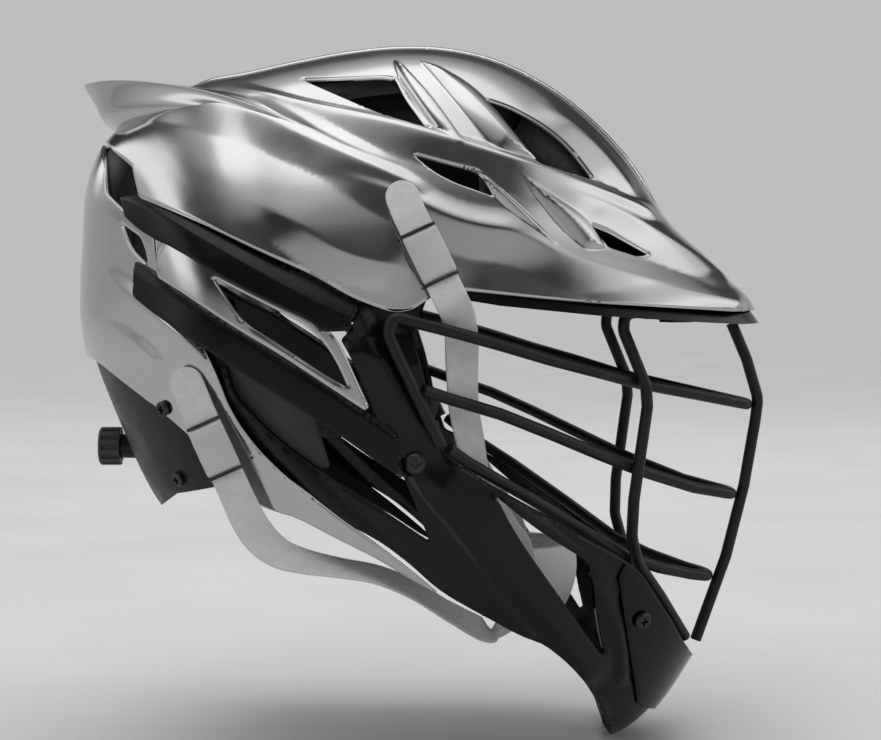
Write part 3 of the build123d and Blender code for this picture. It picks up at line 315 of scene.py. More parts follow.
class Rib:
    """A raised rib inside an outline, its sides rounded over a width."""
    rows = (-0.6, 0, 0.6, 1.3, 2.2)
    fullness = 2.2
    foot = 1.2

    def __init__(self, outline, height, width):
        self.outline = rounded(seen_line(outline), fillet=2.5, step=1.5)
        self.height, self.width = height, width

    def guides(self, step):
        x, z = self.outline.T
        way = 1 if np.sum(x * np.roll(z, -1) - z * np.roll(x, -1)) > 0 else -1
        return beside(self.outline, [way * d for d in self.rows], step * 0.9, True)

    def at(self, base, angle):
        points = base[:, [0, 2]]
        d = line_distance(points, np.vstack([self.outline, self.outline[:1]]))[0]
        d = np.where(inside(points, self.outline), d, 0)
        t = np.clip(1 - d / self.width, 0, 1)
        return self.height * (1 - t ** self.fullness) * smooth(0.25 + d / self.foot)


def merged(items, base, angle):
    """Ribs and crests that meet run into each other instead of adding up."""
    total = sum((np.abs(item.at(base, angle)) ** 4 for item in items), np.zeros(len(base)))
    return total ** 0.25


def tree_of(points):
    tree = KDTree(len(points))
    for n, p in enumerate(points):
        tree.insert(Vector(p).to_3d(), n)
    tree.balance()
    return tree


def gaps_to(tree, points):
    """Distance of each point to the nearest one in the tree."""
    return np.array([tree.find(Vector(p).to_3d())[2] for p in points])


def covered(points, loops):
    """Which laid-flat points the first loop holds and no other does, and how far out they are."""
    ok = inside(points, loops[0])
    for loop in loops[1:]:
        ok &= ~inside(points, loop)
    return ok, outness(*points.T)


def vectors(points):
    return [Vector((float(x), float(y))) for x, y in points]


ROW = 0.87  # height of a row of triangles, as a share of the step
BORDER_ROWS = (0.3, 0.65, 1.0)  # shares of the rounded edge
EAR_REACH = 200.0  # mm from the ear to the outline, roughly


def half_skin(outline, holes, guides, edge, step):
    """One side of a curved layer laid flat and triangulated: its points and faces. Points
    inside keep clear of the loops by shares of the rounded edge, or of the step."""
    loops = [unroll(rounded(line, step=step * 0.7)) for line in [outline] + holes]
    disc = np.stack(rim(np.linspace(0, 360, 720, endpoint=False)), -1)
    low, high = loops[0].min(0), loops[0].max(0)
    rows = int((high[1] - low[1]) / (step * ROW)) + 2
    cols = int((high[0] - low[0]) / step) + 2
    j, i = np.mgrid[0:rows, 0:cols]
    grid = np.stack([low[0] + (i + 0.5 * (j % 2)) * step, low[1] + j * step * ROW], -1)
    border = [loop + loop_left(loop) * way * edge * share
              for loop in loops for way in (1, -1) for share in BORDER_ROWS]
    near_loop = tree_of(np.vstack(loops))
    lines = [unroll(line) for line in guides]
    lines = [line[gaps_to(near_loop, line) > 0.25 * edge] for line in lines]
    near_line = tree_of(np.vstack(lines)) if lines else None

    def kept(points, gap):
        ok, share = covered(points, loops)
        points = points[ok & (share < 1 - 0.3 * gap / EAR_REACH)]
        points = points[gaps_to(near_loop, points) > gap]
        return points[gaps_to(near_line, points) > 0.5 * step] if lines else points

    border = kept(np.vstack(border), edge * 0.27)
    grid = kept(grid.reshape(-1, 2), max(edge * 1.15, step * 0.6))
    verts, edges = [], []
    for loop in loops + [disc]:
        n = len(loop)
        edges += [(len(verts) + k, len(verts) + (k + 1) % n) for k in range(n)]
        verts += vectors(loop)
    for line in lines:
        clear = gaps_to(near_loop, line) > 0.45 * edge
        edges += [(len(verts) + k, len(verts) + k + 1)
                  for k in range(len(line) - 1) if clear[k] and clear[k + 1]]
        verts += vectors(line)
    verts += vectors(np.vstack([border, grid]))
    made, _, faces, _, _, _ = delaunay_2d_cdt(verts, edges, [], 0, 1e-4)
    flat = np.array([(p.x, p.y) for p in made])
    tri = np.array(faces)
    ok, share = covered(flat[tri].mean(1), loops)
    tri = tri[ok & (share < 1)]
    used = np.unique(tri)
    index = np.full(len(flat), -1)
    index[used] = np.arange(len(used))
    return flat[used], index[tri]


PROBE = 0.3  # mm between the points that give a normal


def skin_mesh(outline, holes, step, edge=1.2, relief=(), depth=0.0, wall=SHELL, inner_relief=True):
    """Right half of a curved layer: its outer and inner points, their normals, the faces,
    the edges that need a wall, and which points lie in the centre plane."""
    guides = [line for item in relief for line in item.guides(step)]
    flat, tri = half_skin(outline, holes, guides, edge, step)
    angle, share = angle_of(*flat.T), outness(*flat.T)
    reach = np.hypot(*rim(angle))
    centre = share > 0.9985
    share = np.where(centre, 1.0, share)
    base = surface(angle, share, 0.0)
    sides = {}
    for f in tri:
        for a, b in ((f[0], f[1]), (f[1], f[2]), (f[2], f[0])):
            sides.setdefault((min(a, b), max(a, b)), []).append((a, b))
    walls = [e[0] for e in sides.values()
             if len(e) == 1 and not (centre[e[0][0]] and centre[e[0][1]])]
    tree = tree_of([base[a] * (1 - t) + base[b] * t for a, b in walls for t in (0.0, 0.33, 0.67)])

    def placed(angle, part):
        over = part > 1
        part = np.where(over, 2 - part, part)
        ground = surface(angle, part, 0.0)
        height = merged(relief, ground, angle)
        near = np.clip(1 - gaps_to(tree, ground) / edge, 0, 1)
        off = edge * (1 - np.sqrt(np.clip(1 - near**2, 0, 1)))
        top = depth(angle) if callable(depth) else depth
        under = height if inner_relief else 0
        flip = np.where(over[:, None], MIRROR, 1)
        return (surface(angle, part, top - height + off) * flip,
                surface(angle, part, top - under + wall - 0.5 * off) * flip)

    outer, inner = placed(angle, share)
    ds = PROBE / reach
    da = np.degrees(np.minimum(PROBE / (reach * np.maximum(share, 0.02)), 0.3))
    ahead, behind = placed(angle, share + ds), placed(angle, np.abs(share - ds))
    up, down = placed(angle + da, share), placed(angle - da, share)
    normals = []
    for k, way in ((0, 1), (1, -1)):
        n = np.cross(up[k] - down[k], ahead[k] - behind[k]) * way
        normals.append(n / (np.linalg.norm(n, axis=1)[:, None] + 1e-12))
    if np.sum(normals[0] * base, axis=1).mean() < 0:
        normals = [-n for n in normals]
    return np.vstack([outer, inner]), np.vstack(normals), tri, walls, centre


def mesh_of(name, points, faces):
    mesh = bpy.data.meshes.new(name)
    mesh.from_pydata([tuple(p) for p in np.asarray(points, float) * MM], [],
                     [tuple(int(i) for i in f) for f in faces])
    mesh.shade_smooth()
    return mesh


def stand(name, data):
    """A mesh, camera or lamp put in the scene."""
    item = bpy.data.objects.new(name, data)
    bpy.context.scene.collection.objects.link(item)
    return item


def settle(name, mesh, body, parts):
    """Piece for a mesh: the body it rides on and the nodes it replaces."""
    piece = stand(name, mesh)
    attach(piece, body)
    if parts:
        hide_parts(*parts)
    return piece


def skin(node, outline, material, both=True, slot="shell", lining=None, holes=(), **more):
    """Skin for a node: over the centre plane as one piece, or a piece on each side."""
    points, normals, tri, walls, centre = skin_mesh(
        shares(outline), [shares(hole) for hole in holes], **more)
    n = len(centre)
    faces = [tuple(f) for f in tri]
    faces += [tuple(n + i for i in reversed(f)) for f in tri]
    faces += [(a, n + a, n + b, b) for a, b in walls]
    turned_faces = [tuple(reversed(f)) for f in faces]

    def made(side, points, faces, normals):
        name = node + "_skin" + side
        mesh = mesh_of(name, points, faces)
        mesh.normals_split_custom_set_from_vertices([tuple(n) for n in normals])
        mesh.materials.append(material)
        return settle(name, mesh, "helmet", [node + side])

    if not both:
        made("_right", points, faces, normals)
        made("_left", points * MIRROR, turned_faces, normals * MIRROR)
        return
    other = np.arange(2 * n) + 2 * n
    shared = np.nonzero(np.concatenate([centre, centre]))[0]
    other[shared] = shared
    faces += [tuple(other[list(f)]) for f in turned_faces]
    used = np.unique(np.concatenate([np.array(f) for f in faces]))
    new = np.full(4 * n, -1)
    new[used] = np.arange(len(used))
    points = np.vstack([points, points * MIRROR])[used]
    normals = np.vstack([normals, normals * MIRROR])[used]
    piece = made("", points, [tuple(new[list(f)]) for f in faces], normals)
    if lining:
        piece.data.materials.append(lining)
        marks = np.zeros((2, len(turned_faces)), np.int32)
        marks[:, len(tri):2 * len(tri)] = 1
        piece.data.polygons.foreach_set("material_index", marks.ravel())


class Nodes:
    """Adds and links nodes in one tree."""
    def __init__(self, tree):
        self.tree = tree

    def add(self, kind, **settings):
        """A node; lower-case settings are its own, the others are its inputs."""
        node = self.tree.nodes.new(kind)
        for key, value in settings.items():
            if key[0].islower():
                setattr(node, key, value)
            else:
                self.put(node.inputs[key.replace("_", " ")], value)
        return node

    def put(self, socket, value):
        if isinstance(value, bpy.types.NodeSocket):
            self.tree.links.new(value, socket)
        else:
            socket.default_value = value


class Shader(Nodes):
    """One procedural material."""
    def __init__(self, name):
        self.material = bpy.data.materials.new(name)
        self.material.use_nodes = True
        super().__init__(self.material.node_tree)
        self.bsdf = self.tree.nodes["Principled BSDF"]
        self.place = self.add("ShaderNodeTexCoord").outputs["Object"]

    def noise(self, scale, detail, stretch=None):
        place = self.place
        if stretch:
            place = self.add("ShaderNodeMapping", Vector=place, Scale=stretch).outputs[0]
        return self.add("ShaderNodeTexNoise", Vector=place, Scale=scale, Detail=detail,
                        Roughness=0.5).outputs[0]

    def waves(self, scale, distortion, direction, **more):
        return self.add("ShaderNodeTexWave", Vector=self.place, Scale=scale,
                        Distortion=distortion, bands_direction=direction, **more).outputs["Fac"]

    def spread(self, value, low, high):
        """The middle of a noise spread between two values."""
        return self.add("ShaderNodeMapRange", Value=value, From_Min=0.3, From_Max=0.7,
                        To_Min=low, To_Max=high).outputs[0]

    def tones(self, value, dark, light, warm=0.0):
        ramp = self.add("ShaderNodeValToRGB", Fac=value)
        for element, place, tone in zip(ramp.color_ramp.elements, (0.3, 0.7), (dark, light)):
            element.position = place
            element.color = (*gray(tone, warm), 1)
        return ramp.outputs[0]

    def weave(self, threads):
        """Two crossed sets of threads."""
        node = self.add("ShaderNodeMath", operation="MAXIMUM")
        for socket, direction in zip(node.inputs, ("X", "Z")):
            self.put(socket, self.waves(threads, 0.6, direction))
        return node.outputs[0]

    def bumps(self, *layers):
        """Bumps on top of each other: height, distance in metres and strength."""
        normal = None
        for height, distance, strength in layers:
            node = self.add("ShaderNodeBump", Height=height, Distance=distance, Strength=strength)
            if normal:
                self.put(node.inputs["Normal"], normal)
            normal = node.outputs[0]
        self.put(self.bsdf.inputs["Normal"], normal)

    def finish(self, colour, roughness, **constants):
        self.put(self.bsdf.inputs["Base Color"], colour)
        self.put(self.bsdf.inputs["Roughness"], roughness)
        for key, value in constants.items():
            self.bsdf.inputs[key.replace("_", " ")].default_value = value
        return self.material


def gray(value, warm=0.0):
    return (value * (1 + warm), value, value * (1 - warm))


def chrome():
    s = Shader("polished_chrome")
    smudge = s.noise(18, 4)
    fine = s.noise(1400, 2)
    scratch = s.noise(60, 2, stretch=(1, 30, 30))
    s.bumps((smudge, 0.0006, 0.12), (scratch, 0.00006, 0.10), (fine, 0.00002, 0.15))
    colour = s.tones(smudge, 0.44, 0.48)
    return s.finish(colour, s.spread(s.noise(45, 5), 0.10, 0.19), Metallic=1.0)


def plastic(name, dark, light, low, high, grain, depth, warm=0.0):
    """Grained plastic: two tones, two roughnesses, and the grain's scale and depth."""
    s = Shader(name)
    patchy = s.noise(30, 4)
    s.bumps((s.noise(grain, 3), depth, 0.35), (s.noise(grain * 4, 2), depth * 0.4, 0.3))
    colour = s.tones(patchy, dark, light, warm)
    return s.finish(colour, s.spread(s.noise(70, 4), low, high), Specular_IOR_Level=0.26)


def steel():
    s = Shader("dark_steel")
    brushed = s.noise(300, 3, stretch=(1, 1, 8))
    s.bumps((brushed, 0.00004, 0.3))
    colour = s.tones(s.noise(120, 4), 0.02, 0.07)
    return s.finish(colour, s.spread(brushed, 0.28, 0.5), Metallic=0.9)


def fabric(name, dark, light, threads, depth):
    s = Shader(name)
    woven = s.weave(threads)
    soft = s.noise(35, 4)
    s.bumps((soft, 0.002, 0.25), (woven, depth, 0.6), (s.noise(2600, 2), depth * 0.6, 0.3))
    colour = s.tones(s.noise(500, 3), dark, light)
    return s.finish(colour, s.spread(soft, 0.78, 0.95), Sheen_Weight=0.3, Sheen_Roughness=0.5)


def webbing():
    s = Shader("webbing_light_gray")
    ribs = s.waves(420.0, 0.4, "Z", Detail=1.0)
    cross = s.waves(260.0, 0.8, "DIAGONAL", Detail=1.0)
    s.bumps((ribs, 0.00022, 0.5), (cross, 0.00014, 0.35))
    colour = s.tones(s.noise(240, 4), 0.52, 0.58)
    return s.finish(colour, s.spread(s.noise(90, 3), 0.62, 0.82),
                    Sheen_Weight=0.15, Sheen_Roughness=0.4)


CHROME = chrome()
BLACK = plastic("black_plastic", 0.0015, 0.0035, 0.20, 0.32, 900.0, 0.00005)
GLOSS = plastic("gloss_black_plastic", 0.001, 0.002, 0.05, 0.10, 500.0, 0.00002)
PANEL = plastic("dark_panel_plastic", 0.006, 0.012, 0.36, 0.52, 1200.0, 0.00007)
DIAL = plastic("dial_plastic", 0.035, 0.060, 0.42, 0.56, 1500.0, 0.00008)
WIRE = plastic("mask_powder_coat", 0.006, 0.012, 0.34, 0.50, 2200.0, 0.00010, warm=0.06)
LIGHT = plastic("strap_plastic", 0.42, 0.52, 0.36, 0.50, 1300.0, 0.00006)
CUP = plastic("cup_plastic", 0.62, 0.72, 0.34, 0.50, 1100.0, 0.00006)
STEEL = steel()
FOAM = fabric("liner_fabric", 0.020, 0.040, 700.0, 0.00020)
PALE_FOAM = fabric("cup_fabric", 0.30, 0.42, 800.0, 0.00018)
WEBBING = webbing()


def paint(material, *names):
    for name in names:
        slots = NODES[name].material_slots
        if len(slots) == 0:
            NODES[name].data.materials.append(material)
        for slot in slots:
            slot.material = material


def loft(name, rows, material, parts=(), levels=2, body="helmet"):
    """Rings of points joined into a closed, subdivided skin."""
    count = len(rows[0])
    last = (len(rows) - 1) * count
    faces = []
    for low in range(0, last, count):
        for i in range(count):
            k = (i + 1) % count
            faces.append((low + i, low + k, low + count + k, low + count + i))
    faces += [tuple(reversed(range(count))), tuple(range(last, last + count))]
    mesh = mesh_of(name, [p for row in rows for p in row], faces)
    mesh.materials.append(material)
    piece = settle(name, mesh, body, parts)
    modifier = piece.modifiers.new("Round", "SUBSURF")
    modifier.levels = levels
    modifier.render_levels = levels
    return piece


class Spine:
    """Raised band along the crown."""
    height = 1.5
    half, side = 9.6, 2.2
    rows = (7.4, 8.5, 9.6)

    def guides(self, step):
        angles = np.arange(14, 120, 0.5)
        out = []
        for away in self.rows:
            share = np.arccos((away / HALF) ** (1 / ROUND)) * 2 / np.pi
            out.append(surface(angles, np.full(len(angles), share), 0.0)[:, [0, 2]])
        return out

    def at(self, base, angle):
        away = np.abs(base[:, 1])
        run = smooth((angle - 18) / 8) * smooth((116 - angle) / 8)
        return run * (self.height * smooth((self.half - away) / self.side))


# Raised forms, along lines of the photograph's pixels
SHELL_RELIEF = [
    # upper strake: bright crest over a flat band that faces down
    Crest([(217, 85), (260, 97), (300, 108), (400, 128), (470, 149), (540, 172), (640, 210),
           (668, 227)], 3.4, 5, 13, 0.15, 0.08),
    # second band from the fin's shoulder to the middle vent
    Crest([(213, 92), (245, 97), (290, 113), (340, 142), (404, 168)], 2.2, 7, 10, 0.2, 0.4),
    # lower strake down to the visor's front
    Crest([(515, 172), (560, 190), (620, 215), (700, 260), (738, 292)], 3.2, 8, 12, 0.35, 0.12),
    # ribs between the upper vents
    Rib([(392, 59), (400, 62), (432, 95), (468, 146), (455, 152), (425, 118), (398, 80)],
        2.6, 4.0),
    Rib([(417, 60), (436, 64), (472, 84), (505, 118), (540, 162), (495, 152), (462, 112)],
        3.6, 11.0),
    # ribs between the middle and the low vents
    Rib([(462, 163), (484, 174), (520, 205), (560, 246), (551, 249), (500, 203)], 2.2, 4.0),
    Rib([(510, 168), (545, 188), (588, 216), (608, 250), (583, 253), (548, 214)], 3.4, 9.0),
    # creases of the side panel
    Fold([(240, 195), (300, 225), (345, 255), (417, 271)], 2.2, 26, 13, 0.4, 0.2),
    Crest([(300, 160), (389, 190), (460, 224), (520, 232), (560, 254), (640, 280), (749, 306)],
          2.4, 9, 15, 0.25, 0.05),
    # shoulder under the fin
    Crest([(115, 105), (150, 97), (175, 96), (260, 116), (330, 150), (400, 180), (442, 205)],
          2.6, 5, 14, 0.1, 0.15),
    # edge beside the spine
    Crest([(530, 98), (590, 140), (625, 185), (643, 208)], 1.8, 6, 8, 0.3, 0.2),
]

REAR_RELIEF = [
    Crest([(97, 260), (120, 285), (150, 310), (200, 350), (232, 400)], 2.4, 5, 16, 0.35, 0.3),
    Crest([(104, 318), (145, 348), (178, 384)], 2.0, 6, 15, 0.6, 0.35),
    Crest([(205, 345), (240, 410), (262, 445), (310, 505)], 1.4, 5, 9, 0.2, 0.2),
]
# the loop's plate leans outward toward the lower rail
LOOP_RELIEF = [
    Fold([(-200, 94), (-152, 67), (-69, 14), (-23, -12), (49, -60), (110, -100)],
         2.4, 20, 3, 0.02, 0.02, shares)]
UPPER_RAIL_RELIEF = [
    Bevel([(100, 190), (112, 196), (160, 214), (240, 262), (320, 306), (388, 336), (400, 342)],
          3.7, 0.46, 0.13)]
LOWER_RAIL_RELIEF = [
    Bevel([(118, 264), (128, 270), (205, 316), (280, 366), (345, 406), (404, 446), (416, 454)],
          3.9, 0.46, 0.20)]

# Outlines, in thousandths of the length and height
FRONT_SHELL = [
    (700, 42), (618, 37), (554, 42), (481, 47), (410, 51), (342, 57), (274, 64), (207, 71),
    (182, 59), (157, 42), (133, 40), (112, 47), (78, 60), (29, 89), (-56, 126), (-143, 168),
    (-216, 196), (-230, 240), (-261, 263), (-290, 283), (-360, 315), (-400, 500), (750, 500),
    (750, 42)]
TOP_REAR_VENT = [
    (1, 363), (56, 363), (118, 365), (135, 362), (147, 335), (182, 284), (133, 301), (57, 335)]
TOP_FRONT_VENT = [
    (258, 333), (291, 323), (333, 301), (374, 269), (410, 221), (331, 241), (304, 274)]
MIDDLE_VENT = [
    (158, 251), (208, 237), (245, 228), (268, 196), (201, 219)]
LOW_VENT = [
    (401, 158), (428, 148), (485, 118), (470, 115), (427, 128)]
REAR_SHELL = [
    (-400, 318), (-290, 278), (-275, 250), (-268, 204), (-239, 180), (-206, 154), (-189, 146),
    (-182, 84), (-192, 88), (-200, 80), (-176, 42), (-153, 21), (-128, 6), (-107, -32),
    (-88, -85), (-73, -111), (-50, -141), (-18, -173), (48, -227), (114, -276), (159, -312),
    (194, -343), (159, -325), (114, -295), (47, -261), (3, -237), (-35, -227), (-75, -209),
    (-108, -173), (-138, -134), (-166, -110), (-202, -84), (-241, -59), (-290, -28), (-400, -20)]
STRUT_OPENING = [
    (-240, 160), (-212, 142), (-203, 122), (-200, 104), (-226, 126)]
SIDE_LOOP = [
    (-188, 145.5), (-152, 129), (-108, 103), (-65, 80), (-22, 59), (20, 38), (41, 23), (57, 6),
    (68, -12), (82, -44), (100, -84), (96, -90), (49, -59), (-23, -11), (-69, 15), (-152, 68),
    (-181, 83.5)]
LOOP_OPENING = [
    (-106, 86), (-63, 64), (-23, 44), (16, 24), (44, -3), (60, -30), (73, -60), (49, -47),
    (-23, 1), (-66, 27)]
UPPER_RAIL = [
    (-246, 198), (-216, 207), (-143, 180), (-56, 138), (29, 101), (78, 72), (96, 63), (72, 15),
    (41, 14), (20, 29), (-22, 49), (-65, 70), (-108, 93), (-152, 119), (-206, 146), (-235, 168)]
LOWER_RAIL = [
    (-216, 108), (-192, 98), (-152, 69), (-69, 16), (-23, -10), (49, -58), (117, -105),
    (137, -121), (137, -173), (121, -163), (62, -120), (-4, -76), (-70, -34), (-127, 3),
    (-180, 36), (-210, 58)]
JAW = [
    (101, 66), (185, 80), (175, 45), (160, 10), (180, -70), (190, -120), (203, -158), (234, -173),
    (262, -192), (315, -223), (356, -246), (412, -281), (440, -297), (470, -317), (501, -363),
    (553, -453), (600, -520), (600, -620), (455, -620), (419, -507), (359, -428), (276, -386),
    (194, -338), (159, -306), (114, -270), (48, -234), (16, -210), (-17, -184), (-49, -155),
    (-74, -125), (-92, -90), (-110, -45), (-98, -33), (-78, -80), (-55, -102), (-33, -124),
    (0, -152), (62, -196), (147, -250), (183, -272), (165, -225), (140, -165), (121, -124),
    (108, -115), (107, -88), (88, -46), (74, -14), (64, 3), (76, 15)]
JAW_OPENING = [
    (268, -206), (325, -254), (398, -302), (407, -340), (424, -436), (416, -436), (357, -348),
    (302, -268)]
CHIN_PLATE = [
    (437, -322), (446, -303), (501, -366), (553, -457), (620, -530), (560, -600), (500, -534),
    (474, -522), (449, -395)]
EAR_PANEL = [
    (-150, 60), (-85, 30), (30, -45), (60, -75), (30, -110), (50, -178), (10, -182), (-45, -150),
    (-78, -115), (-110, -60)]
JAW_DEPTHS = [(195, 3.6), (290, 3.6), (297, 3.6), (306, 0), (350, 0), (365, 3.6), (385, 3.6)]

JAW_RELIEF = [
    # temple column
    Fold([(352, 298), (372, 350), (400, 400), (424, 440)], 3.0, 7, 8, 0.1, 0.2),
    # main beam: broad face toward the front, narrow dark face behind
    Fold([(420, 462), (431, 480), (471, 519), (510, 579), (558, 630), (597, 691)],
         4.4, 15, 8, 0.12, 0.1),
    Fold([(380, 436), (397, 470), (449, 536), (495, 594), (546, 654)], 3.0, 3.5, 13, 0.15, 0.15),
    # lower edge and its lip
    Fold([(215, 372), (270, 445), (330, 508), (400, 566), (500, 634), (560, 676), (612, 718)],
         2.6, 5, 6, 0.05, 0.05),
    # chin strut and the fold beside the chin plate
    Fold([(480, 492), (495, 503), (534, 521), (582, 557), (616, 586)], 1.8, 3.5, 3.5, 0.1, 0.1),
    Fold([(588, 572), (607, 601), (620, 640), (622, 690)], 2.0, 5, 4, 0.15, 0.15),
]


def jaw_depth(angle):
    """Depth of the jaw guard under the outer surface, by angle from the front."""
    angle = angle % 360
    angle = np.where(angle < 150, angle + 360, angle)
    return np.interp(angle, *np.array(JAW_DEPTHS).T)


skin("front_shell", FRONT_SHELL, CHROME, lining=PANEL, relief=SHELL_RELIEF + [Spine()],
     holes=[TOP_REAR_VENT, TOP_FRONT_VENT, MIDDLE_VENT, LOW_VENT], step=1.3)
skin("rear_shell", REAR_SHELL, CHROME, lining=PANEL, relief=REAR_RELIEF,
     holes=[STRUT_OPENING], step=1.5)
skin("side_loop", SIDE_LOOP, CHROME, both=False, relief=LOOP_RELIEF,
     holes=[LOOP_OPENING], edge=1.0, step=1.6)
for node, outline, relief, depth, wall in (
        ("upper_rail", UPPER_RAIL, UPPER_RAIL_RELIEF, 3.7, 5.0),
        ("lower_rail", LOWER_RAIL, LOWER_RAIL_RELIEF, 0.0, 4.0)):
    skin(node, outline, BLACK, both=False, slot="black_plastic", relief=relief, depth=depth,
         wall=wall, step=1.5, inner_relief=False)
skin("jaw_guard", JAW, BLACK, slot="black_plastic", relief=JAW_RELIEF, depth=jaw_depth,
     holes=[JAW_OPENING], wall=5.0, step=1.8)
skin("chin_plate", CHIN_PLATE, GLOSS, slot="black_plastic", depth=-2.6, wall=2.0, edge=0.9,
     step=1.6)
skin("ear_panel", EAR_PANEL, DIAL, both=False, slot="dark_plastic", depth=9.2, wall=2.5,
     step=1.8)

# Fin: root, underside, tip and top of each station, in thousandths of length, half width, height
FIN = [
    ((-266, 0, 286), (-305, 0, 312), (-338, 0, 364), (-205, 0, 366)),
    ((-262, 220, 290), (-288, 250, 312), (-298, 190, 368.5), (-188, 180, 362)),
    ((-206, 370, 302), (-232, 390, 324), (-234, 340, 364.5), (-160, 300, 352)),
    ((-120, 550, 308), (-138, 570, 324), (-142, 510, 349), (-95, 450, 345)),
    ((-54, 660, 292), (-64, 665, 302), (-66, 645, 324.5), (-40, 580, 330)),
    ((20, 770, 266), (12, 780, 272), (10, 755, 290), (22, 700, 300)),
    ((85, 840, 235), (80, 850, 240), (80, 835, 250), (90, 800, 262))]
UP = np.array([0, 0, 1.0])


def fin_row(station):
    """Section of the fin from its lower root round the tip to its upper root."""
    low, middle, tip, top = np.array(station) / 1000 * (LENGTH, -HALF, HEIGHT)
    out = unit(tip - (low + top) / 2)
    return np.array([
        low - out * 6, middle * 0.35 + low * 0.65, middle, middle * 0.5 + tip * 0.5 - out * 1.5,
        tip - UP * 1.6, tip + out * 0.6, tip + UP * 0.5 - out * 1.4,
        top * 0.5 + tip * 0.5 + UP * 0.6, top, top - out * 10 - UP * 4.0])


fin = [fin_row(station) for station in FIN]
loft("fin_lip", [row * MIRROR for row in reversed(fin[1:])] + fin, CHROME, levels=3)

# Everything that keeps its CAD shape
paint(BLACK, "brow_plate", "mask_clip_left", "mask_clip_right")
paint(PANEL, "fit_carrier", "fit_housing", "housing_cover", "rack_left", "rack_right")
paint(DIAL, "fit_dial", "dial_shaft")
paint(WIRE, "mask_rim_wire", "mask_middle_wire", "mask_low_wire", "mask_eye_wire",
      "mask_centre_wire")
paint(STEEL, "clip_screws", "jaw_screws", "jaw_nuts", "chin_screws", "frame_screws",
      "carrier_screws", "nape_screws", "cover_screws", "front_studs", "rear_studs")

CELLS = 30  # of a cushion, each way
PULL = 0.22  # how far a cushion's corners and edges are drawn in
CROWN = 0.28  # how much of a cushion's thickness is its crown
CHANNEL_HALF = 4.8
CHANNEL_SHARE = 0.30


def cushion(name, place, thickness, node=None, body="helmet", channels=(), width=100.0, flip=False):
    """Crowned cushion with drawn-in edges and sewn channels; place(u, v, deep) gives its points."""
    outer, inner = [], []
    for j in range(CELLS + 1):
        for i in range(CELLS + 1):
            u, v = 2 * j / CELLS - 1, 2 * i / CELLS - 1
            su = u * math.sqrt(1 - PULL * v * v)
            sv = v * math.sqrt(1 - PULL * u * u)
            edge = max(0.0, (1 - abs(u) ** 7) * (1 - abs(v) ** 7)) ** 0.42
            crown = 1 - CROWN + CROWN * (1 - u * u) * (1 - v * v)
            groove = max([math.exp(-((sv - middle) * width / CHANNEL_HALF) ** 2)
                          for middle in channels], default=0.0)
            full = thickness * edge * crown * (1 - CHANNEL_SHARE * groove)
            lean = thickness * PULL * (1 - edge)
            outer.append(place(su, sv, lean))
            inner.append(place(su, sv, lean + full * 0.98 + 0.15))
    count = CELLS + 1
    total = count * count
    faces = []
    for j in range(CELLS):
        for i in range(CELLS):
            q = (j * count + i, j * count + i + 1, (j + 1) * count + i + 1, (j + 1) * count + i)
            faces += [q, tuple(total + k for k in reversed(q))]
    steps = [(k, k + 1) for k in range(CELLS)]
    border = [(a * count, b * count) for a, b in steps]
    border += [(CELLS * count + a, CELLS * count + b) for a, b in steps]
    border += [(b * count + CELLS, a * count + CELLS) for a, b in steps]
    border += [(b, a) for a, b in steps]
    faces += [(a, b, total + b, total + a) for a, b in border]
    if flip:
        faces = [tuple(reversed(f)) for f in faces]
    mesh = mesh_of(name, outer + inner, faces)
    mesh.validate()
    mesh.set_sharp_from_angle(angle=math.radians(60))
    mesh.materials.append(FOAM)
    piece = settle(name, mesh, body, [node] if node else ())


def turned(angle, turn, depth):
    """Surface point by turn from the right ear (0) over the crown (90) to the left ear (180)."""
    if turn > 90:
        return surface(angle, (180 - turn) / 90, depth) * MIRROR
    return surface(angle, turn / 90, depth)


def pad(name, first, last, turn_from, turn_to, top, thickness, node=None, channels=(), side=1,
        limit=None):
    """Cushion under the shells, between two angles and two turns, from a depth downward."""
    middle, half = (turn_from + turn_to) / 2, (turn_to - turn_from) / 2

    def place(u, v, deep):
        a = (first + last) / 2 + u * (last - first) / 2
        start = top(a) if callable(top) else top
        if limit:
            deep = min(deep, limit(a) - start - 1.0)
        return turned(a, middle + v * half, start + deep) * np.array([1, side, 1])

    cushion(name, place, thickness, node, channels=[(c - middle) / half for c in channels],
            width=math.radians(half) * HALF * 2, flip=side < 0)


def forehead(angle):
    """Depth at which the front cushion starts."""
    return float(np.interp(angle, [14, 34, 52], [79.9, 45.9, 3.8]))


pad("crown_cushion", 56.3, 113.5, 60, 120, 3.8, 17.0, "liner_crown", (78, 102))
pad("front_cushion", 16, 53, 55, 125, forehead, 20.0, "liner_front", (75, 105))
pad("rear_cushion", 119, 174.8, 60, 120, 3.8, 18.0, "liner_rear", (78, 102))
pad("crown_comfort_cushion", 50, 112, 66, 114, 21.4, 20.0, channels=(90,))
pad("brow_filler_cushion", 18, 46, 58, 122, 4.0, 34.0, channels=(75, 105), limit=forehead)

# Front face of a rack's arm, seen from above, and the cushion's place on it
NAPE_LINE = np.array([(-69.45, 31.3), (-64.6, 49.7), (-54.4, 65.9)])
NAPE_MIDDLE = -55.08
NAPE_HALF = 11.0
NAPE_GAP = 2.9
NAPE_THICK = 7.0
NAPE_FROM = 0.15  # clear of the fit housing when the racks are drawn in


